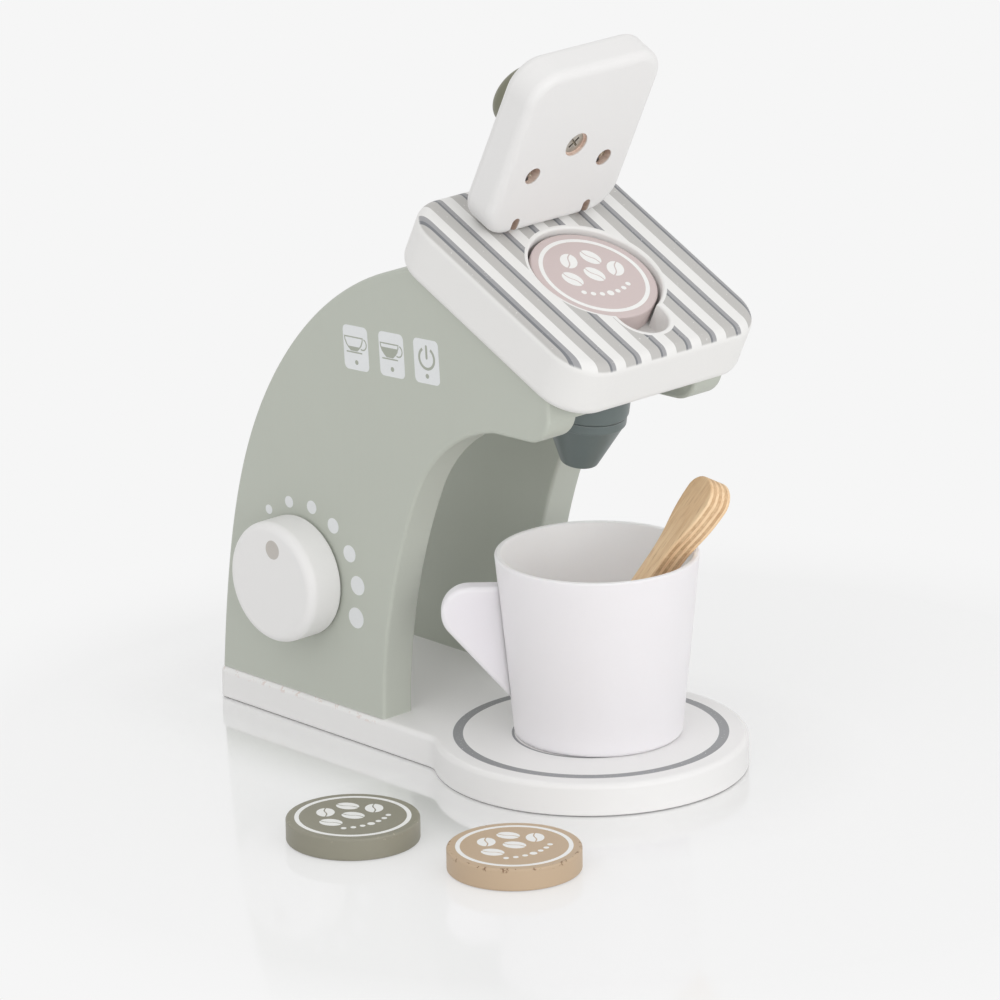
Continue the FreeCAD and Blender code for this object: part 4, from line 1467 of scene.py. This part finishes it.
@dataclass
class Pods:
    """The three coffee pods and the print on their tops.

    Attributes:
        radius: The printed ring's outer radius, in millimetres.
        width: The ring's width.
        beans: Each bean's place and lean, in the print's frame.
        bean_long: Half a bean's length.
        bean_wide: Half its width.
        bean_sweep: How far each half's outline runs round to either side, in degrees.
        split: The width of the split between a bean's halves.
        bend: How far that split is bent.
        dot_radius: The radius of the arc of dots.
        dot_spread: How much wider than high that arc is.
        dot_middle: The arc's middle, up the print.
    """

    finishes: Finishes
    radius: float = 17.4
    width: float = 1.35
    beans: tuple[Triple, ...] = (
        (-4.0, 8.0, 51.0), (4.4, 7.9, 115.0), (9.1, 1.2, 51.0), (0.5, 0.5, 115.0), (-8.2, 0.2, 115.0))
    bean_long: float = 3.6
    bean_wide: float = 2.75
    bean_sweep: float = 83.0
    split: float = 0.42
    bend: float = 0.42
    dot_radius: float = 12.6
    dot_spread: float = 1.15
    dot_middle: float = 4.0

    def build(self) -> None:
        """Dresses the three pods and prints their tops."""
        slopes = HEAD_MATRIX.to_3x3()
        pocket = HEAD_MATRIX @ (Vector((0.0, POCKET_LINE, -1.65)) * MM)
        self.pod("pod_pink", Body.POCKET_POD, self.finishes.pink, pocket, slopes, -5.0)
        flat = Matrix.Identity(3)
        green, tan = (Vector((*place, POD_TOP)) * MM for place in (GREEN_PLACE, TAN_PLACE))
        self.pod("pod_green", Body.GREEN_POD, self.finishes.green, green, flat, -3.7)
        self.pod("pod_tan", Body.TAN_POD, self.finishes.tan, tan, flat, -3.0)

    def pod(self, node: str, body: Body, paint: Paint, middle: Vector, lie: Matrix, turn: float) -> None:
        """Dresses one pod and prints its top.

        Args:
            node: The pod's solid.
            body: The body that it is.
            paint: Its paint.
            middle: The middle of its top, in metres.
            lie: How its top lies in the row frame.
            turn: How the print is turned on it, in degrees.
        """
        dress((node,), self.finishes.get(paint))
        spin = lie @ Matrix.Rotation(math.radians(turn), 3, "Z")
        plane = PrintPlane(middle, spin @ Vector((1.0, 0.0, 0.0)), spin @ Vector((0.0, 1.0, 0.0)))
        mould = Mould()
        inner = self.radius - self.width
        outline, hollow = (ellipse(0, 0, radius, radius, 96) for radius in (self.radius, inner))
        mould.band(outline, hollow, plane, *FLAT)
        for bean in self.beans:
            self.bean(mould, plane, bean)
        for angle in range(-126, -53, 12):
            turn_dot = math.radians(angle)
            size = 1.15 if angle == -90 else 0.85
            x = self.dot_radius * math.cos(turn_dot) * self.dot_spread
            y = self.dot_middle + self.dot_radius * math.sin(turn_dot)
            mould.prism(ellipse(x, y, size, size, 24), plane, *FLAT)
        item = mould.piece(f"{node}_print", self.finishes.get(self.finishes.pod_ink))
        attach(item, body.value)

    def bean(self, mould: Mould, plane: PrintPlane, place: Triple) -> None:
        """Prints one bean as two halves with a bent split between them.

        Args:
            mould: The mould that takes it.
            plane: The pod's top.
            place: The bean's middle and its lean in degrees.
        """
        x, y, lean = place
        c, s = math.cos(math.radians(lean)), math.sin(math.radians(lean))
        for side in (1, -1):
            outline = []
            for i in range(21):
                a = math.radians(self.bean_sweep * (i / 10 - 1.0))
                outline.append((self.bean_long * math.sin(a), side * self.bean_wide * math.cos(a)))
            ends = self.bean_long * math.sin(math.radians(self.bean_sweep))
            for i in range(11):
                t = 1.0 - 2.0 * i / 10
                bend = self.bend * math.sin(math.pi * t) * (1.0 - 0.2 * abs(t))
                outline.append((ends * t * 0.97, bend + side * self.split / 2))
            turned = [(x + u * c - v * s, y + u * s + v * c) for u, v in outline]
            mould.prism(turned if side < 0 else turned[::-1], plane, *FLAT)


@dataclass
class Studio:
    """The floor, the plain soft light and the camera.

    Attributes:
        backdrop: The backdrop's colour on the screen.
        floor_shade: The floor's own colour.
        world_light: The strength of the even light from all round.
        lamps: Each lamp's name, place and side in metres, and power in watts.
        aim: The point that the lamps face, in metres.
        lens: The camera's focal length, in millimetres.
        camera_place: Where the camera stands, in metres.
        camera_right: The direction of the picture's right.
        camera_up: The direction of its top.
        floor_high: The floor's height, in metres, a little under the toy.
        floor_half: Half its side, in metres.
        floor_clear: From where to where it melts into the backdrop, in metres from the origin.
        plate: Half the width and half the length of the base plate's body, and its disc's radius.
    """

    backdrop: Shade = (246, 246, 246)
    floor_shade: Shade = (244, 244, 244)
    world_light: float = 0.85
    lamps: tuple[tuple[str, Triple, float, float], ...] = (
        ("left_window", (-1.73, -0.6, 1.55), 1.3, 5.0),
        ("front_softbox", (0.6, -2.0, 0.8), 1.4, 5.0),
        ("low_softbox", (-0.6, -2.2, 0.35), 1.4, 13.0))
    aim: Triple = (0.0, 0.02, 0.08)
    lens: float = 288.0
    camera_place: Triple = (-1.5966, -1.6467, 0.82153)
    camera_right: Triple = (0.7231, -0.6906, -0.0128)
    camera_up: Triple = (0.2202, 0.2129, 0.9519)
    floor_high: float = -0.2 * MM
    floor_half: float = 6.0
    floor_clear: Point = (0.13, 0.24)
    plate: Triple = (37.5, 64.0, 48.0)

    def build(self) -> None:
        """Makes the camera, the world, the lamps and the floor."""
        self.camera()
        self.world()
        for lamp in self.lamps:
            self.lamp(*lamp)
        self.floor()
        bpy.context.scene.view_settings.view_transform = "Standard"

    def camera(self) -> None:
        """Stands the camera where the photograph was taken from."""
        data = bpy.data.cameras.new("camera")
        data.lens = self.lens
        data.sensor_width = 36.0
        data.clip_end = 20.0
        camera = bpy.data.objects.new("camera", data)
        right = Vector(self.camera_right).normalized()
        up = Vector(self.camera_up)
        up = (up - right * up.dot(right)).normalized()
        back = right.cross(up)
        turned = Matrix((right, up, back)).transposed().to_4x4()
        camera.matrix_world = Matrix.Translation(self.camera_place) @ turned
        bpy.context.scene.collection.objects.link(camera)
        bpy.context.scene.camera = camera

    def world(self) -> None:
        """Lights the scene evenly, and shows the backdrop's own colour to the camera."""
        world = bpy.data.worlds.new("studio")
        bpy.context.scene.world = world
        world.use_nodes = True
        world.node_tree.nodes.clear()
        graph = Graph(world.node_tree)
        light, shown = (graph.add("ShaderNodeBackground", {"Color": colour, "Strength": strength}).outputs[0]
                        for colour, strength in (((1.0, 1.0, 1.0, 1.0), self.world_light),
                                                 (linear(self.backdrop), 1.0)))
        mixed = graph.add("ShaderNodeMixShader", {0: graph.seen(), 1: light, 2: shown})
        graph.add("ShaderNodeOutputWorld", {"Surface": mixed.outputs[0]})

    def lamp(self, name: str, place: Triple, size: float, power: float) -> None:
        """Hangs a soft square lamp that faces the toy.

        Args:
            name: The lamp's name.
            place: Where it hangs, in metres.
            size: Its side, in metres.
            power: Its power, in watts.
        """
        data = bpy.data.lights.new(name, "AREA")
        data.size = size
        data.energy = power
        lamp = bpy.data.objects.new(name, data)
        turned = (Vector(self.aim) - Vector(place)).to_track_quat("-Z", "Y").to_matrix().to_4x4()
        lamp.matrix_world = Matrix.Translation(place) @ turned
        bpy.context.scene.collection.objects.link(lamp)

    def floor(self) -> None:
        """Lays a pale, faintly glossy floor that melts into the backdrop."""
        half = self.floor_half
        corners = [(x * half, y * half, self.floor_high) for x, y in ((-1, -1), (1, -1), (1, 1), (-1, 1))]
        data = bpy.data.meshes.new("studio_floor")
        data.from_pydata(corners, [], [(0, 1, 2, 3)])
        data.materials.append(self.floor_material())
        floor = bpy.data.objects.new("studio_floor", data)
        bpy.context.scene.collection.objects.link(floor)

    def beside_plate(self, graph: Graph, place: Socket) -> Socket:
        """Says how close the floor is to the base plate, where it mirrors it.

        Args:
            graph: The floor's graph.
            place: The point's place.

        Returns:
            The socket of a number that is 1 at the plate and 0 well away from it.
        """
        x, y, _ = graph.split(place)
        half_wide, half_long, radius = (measure * MM for measure in self.plate)
        wide = graph.larger(graph.minus(graph.size(x), half_wide), 0.0)
        behind = graph.size(graph.minus(y, half_long))
        long = graph.larger(graph.minus(behind, half_long), 0.0)
        disc = graph.minus(graph.vector("LENGTH", place), radius)
        return graph.past(graph.maths("MINIMUM", graph.reach(wide, long), disc), 46.0, 6.0)

    def floor_material(self) -> bpy.types.Material:
        """Builds the floor's material.

        Returns:
            The material.
        """
        material, graph, shader = new_material("studio_floor")
        place = graph.place()
        haze = graph.noise(place, 9.0, 2.0)
        graph.feed(shader.inputs["Base Color"], linear(self.floor_shade))
        graph.feed(shader.inputs["Roughness"], graph.plus(graph.times(haze, 0.02), 0.07))
        graph.feed(shader.inputs["Specular IOR Level"], 0.8)
        glow = graph.add("ShaderNodeEmission", {"Color": linear(self.backdrop), "Strength": 1.0})
        away = graph.vector("LENGTH", place)
        close = self.beside_plate(graph, place)
        graph.feed(shader.inputs["Metallic"], graph.times(close, 0.6))
        veil = graph.minus(0.5, graph.times(close, 0.4))
        far = graph.larger(graph.rise(away, *self.floor_clear), veil)
        shown = graph.times(far, graph.seen())
        mixed = graph.add("ShaderNodeMixShader", {0: shown, 1: shader.outputs[0], 2: glow.outputs[0]})
        end = next(node for node in graph.tree.nodes if node.type == "OUTPUT_MATERIAL")
        graph.feed(end.inputs["Surface"], mixed.outputs[0])
        return material


def main() -> None:
    """Builds and dresses the toy and its studio."""
    logging.basicConfig(level=logging.INFO, format="%(name)s: %(message)s")
    finishes = Finishes()
    Studio().build()
    parts: list[Callable[[], None]] = [
        Machine(finishes).build,
        Lid(finishes).build,
        Dial(finishes).build,
        CupAndStirrer(finishes).build,
        Pods(finishes).build,
    ]
    for part in parts:
        part()


if __name__ == "__main__":
    main()
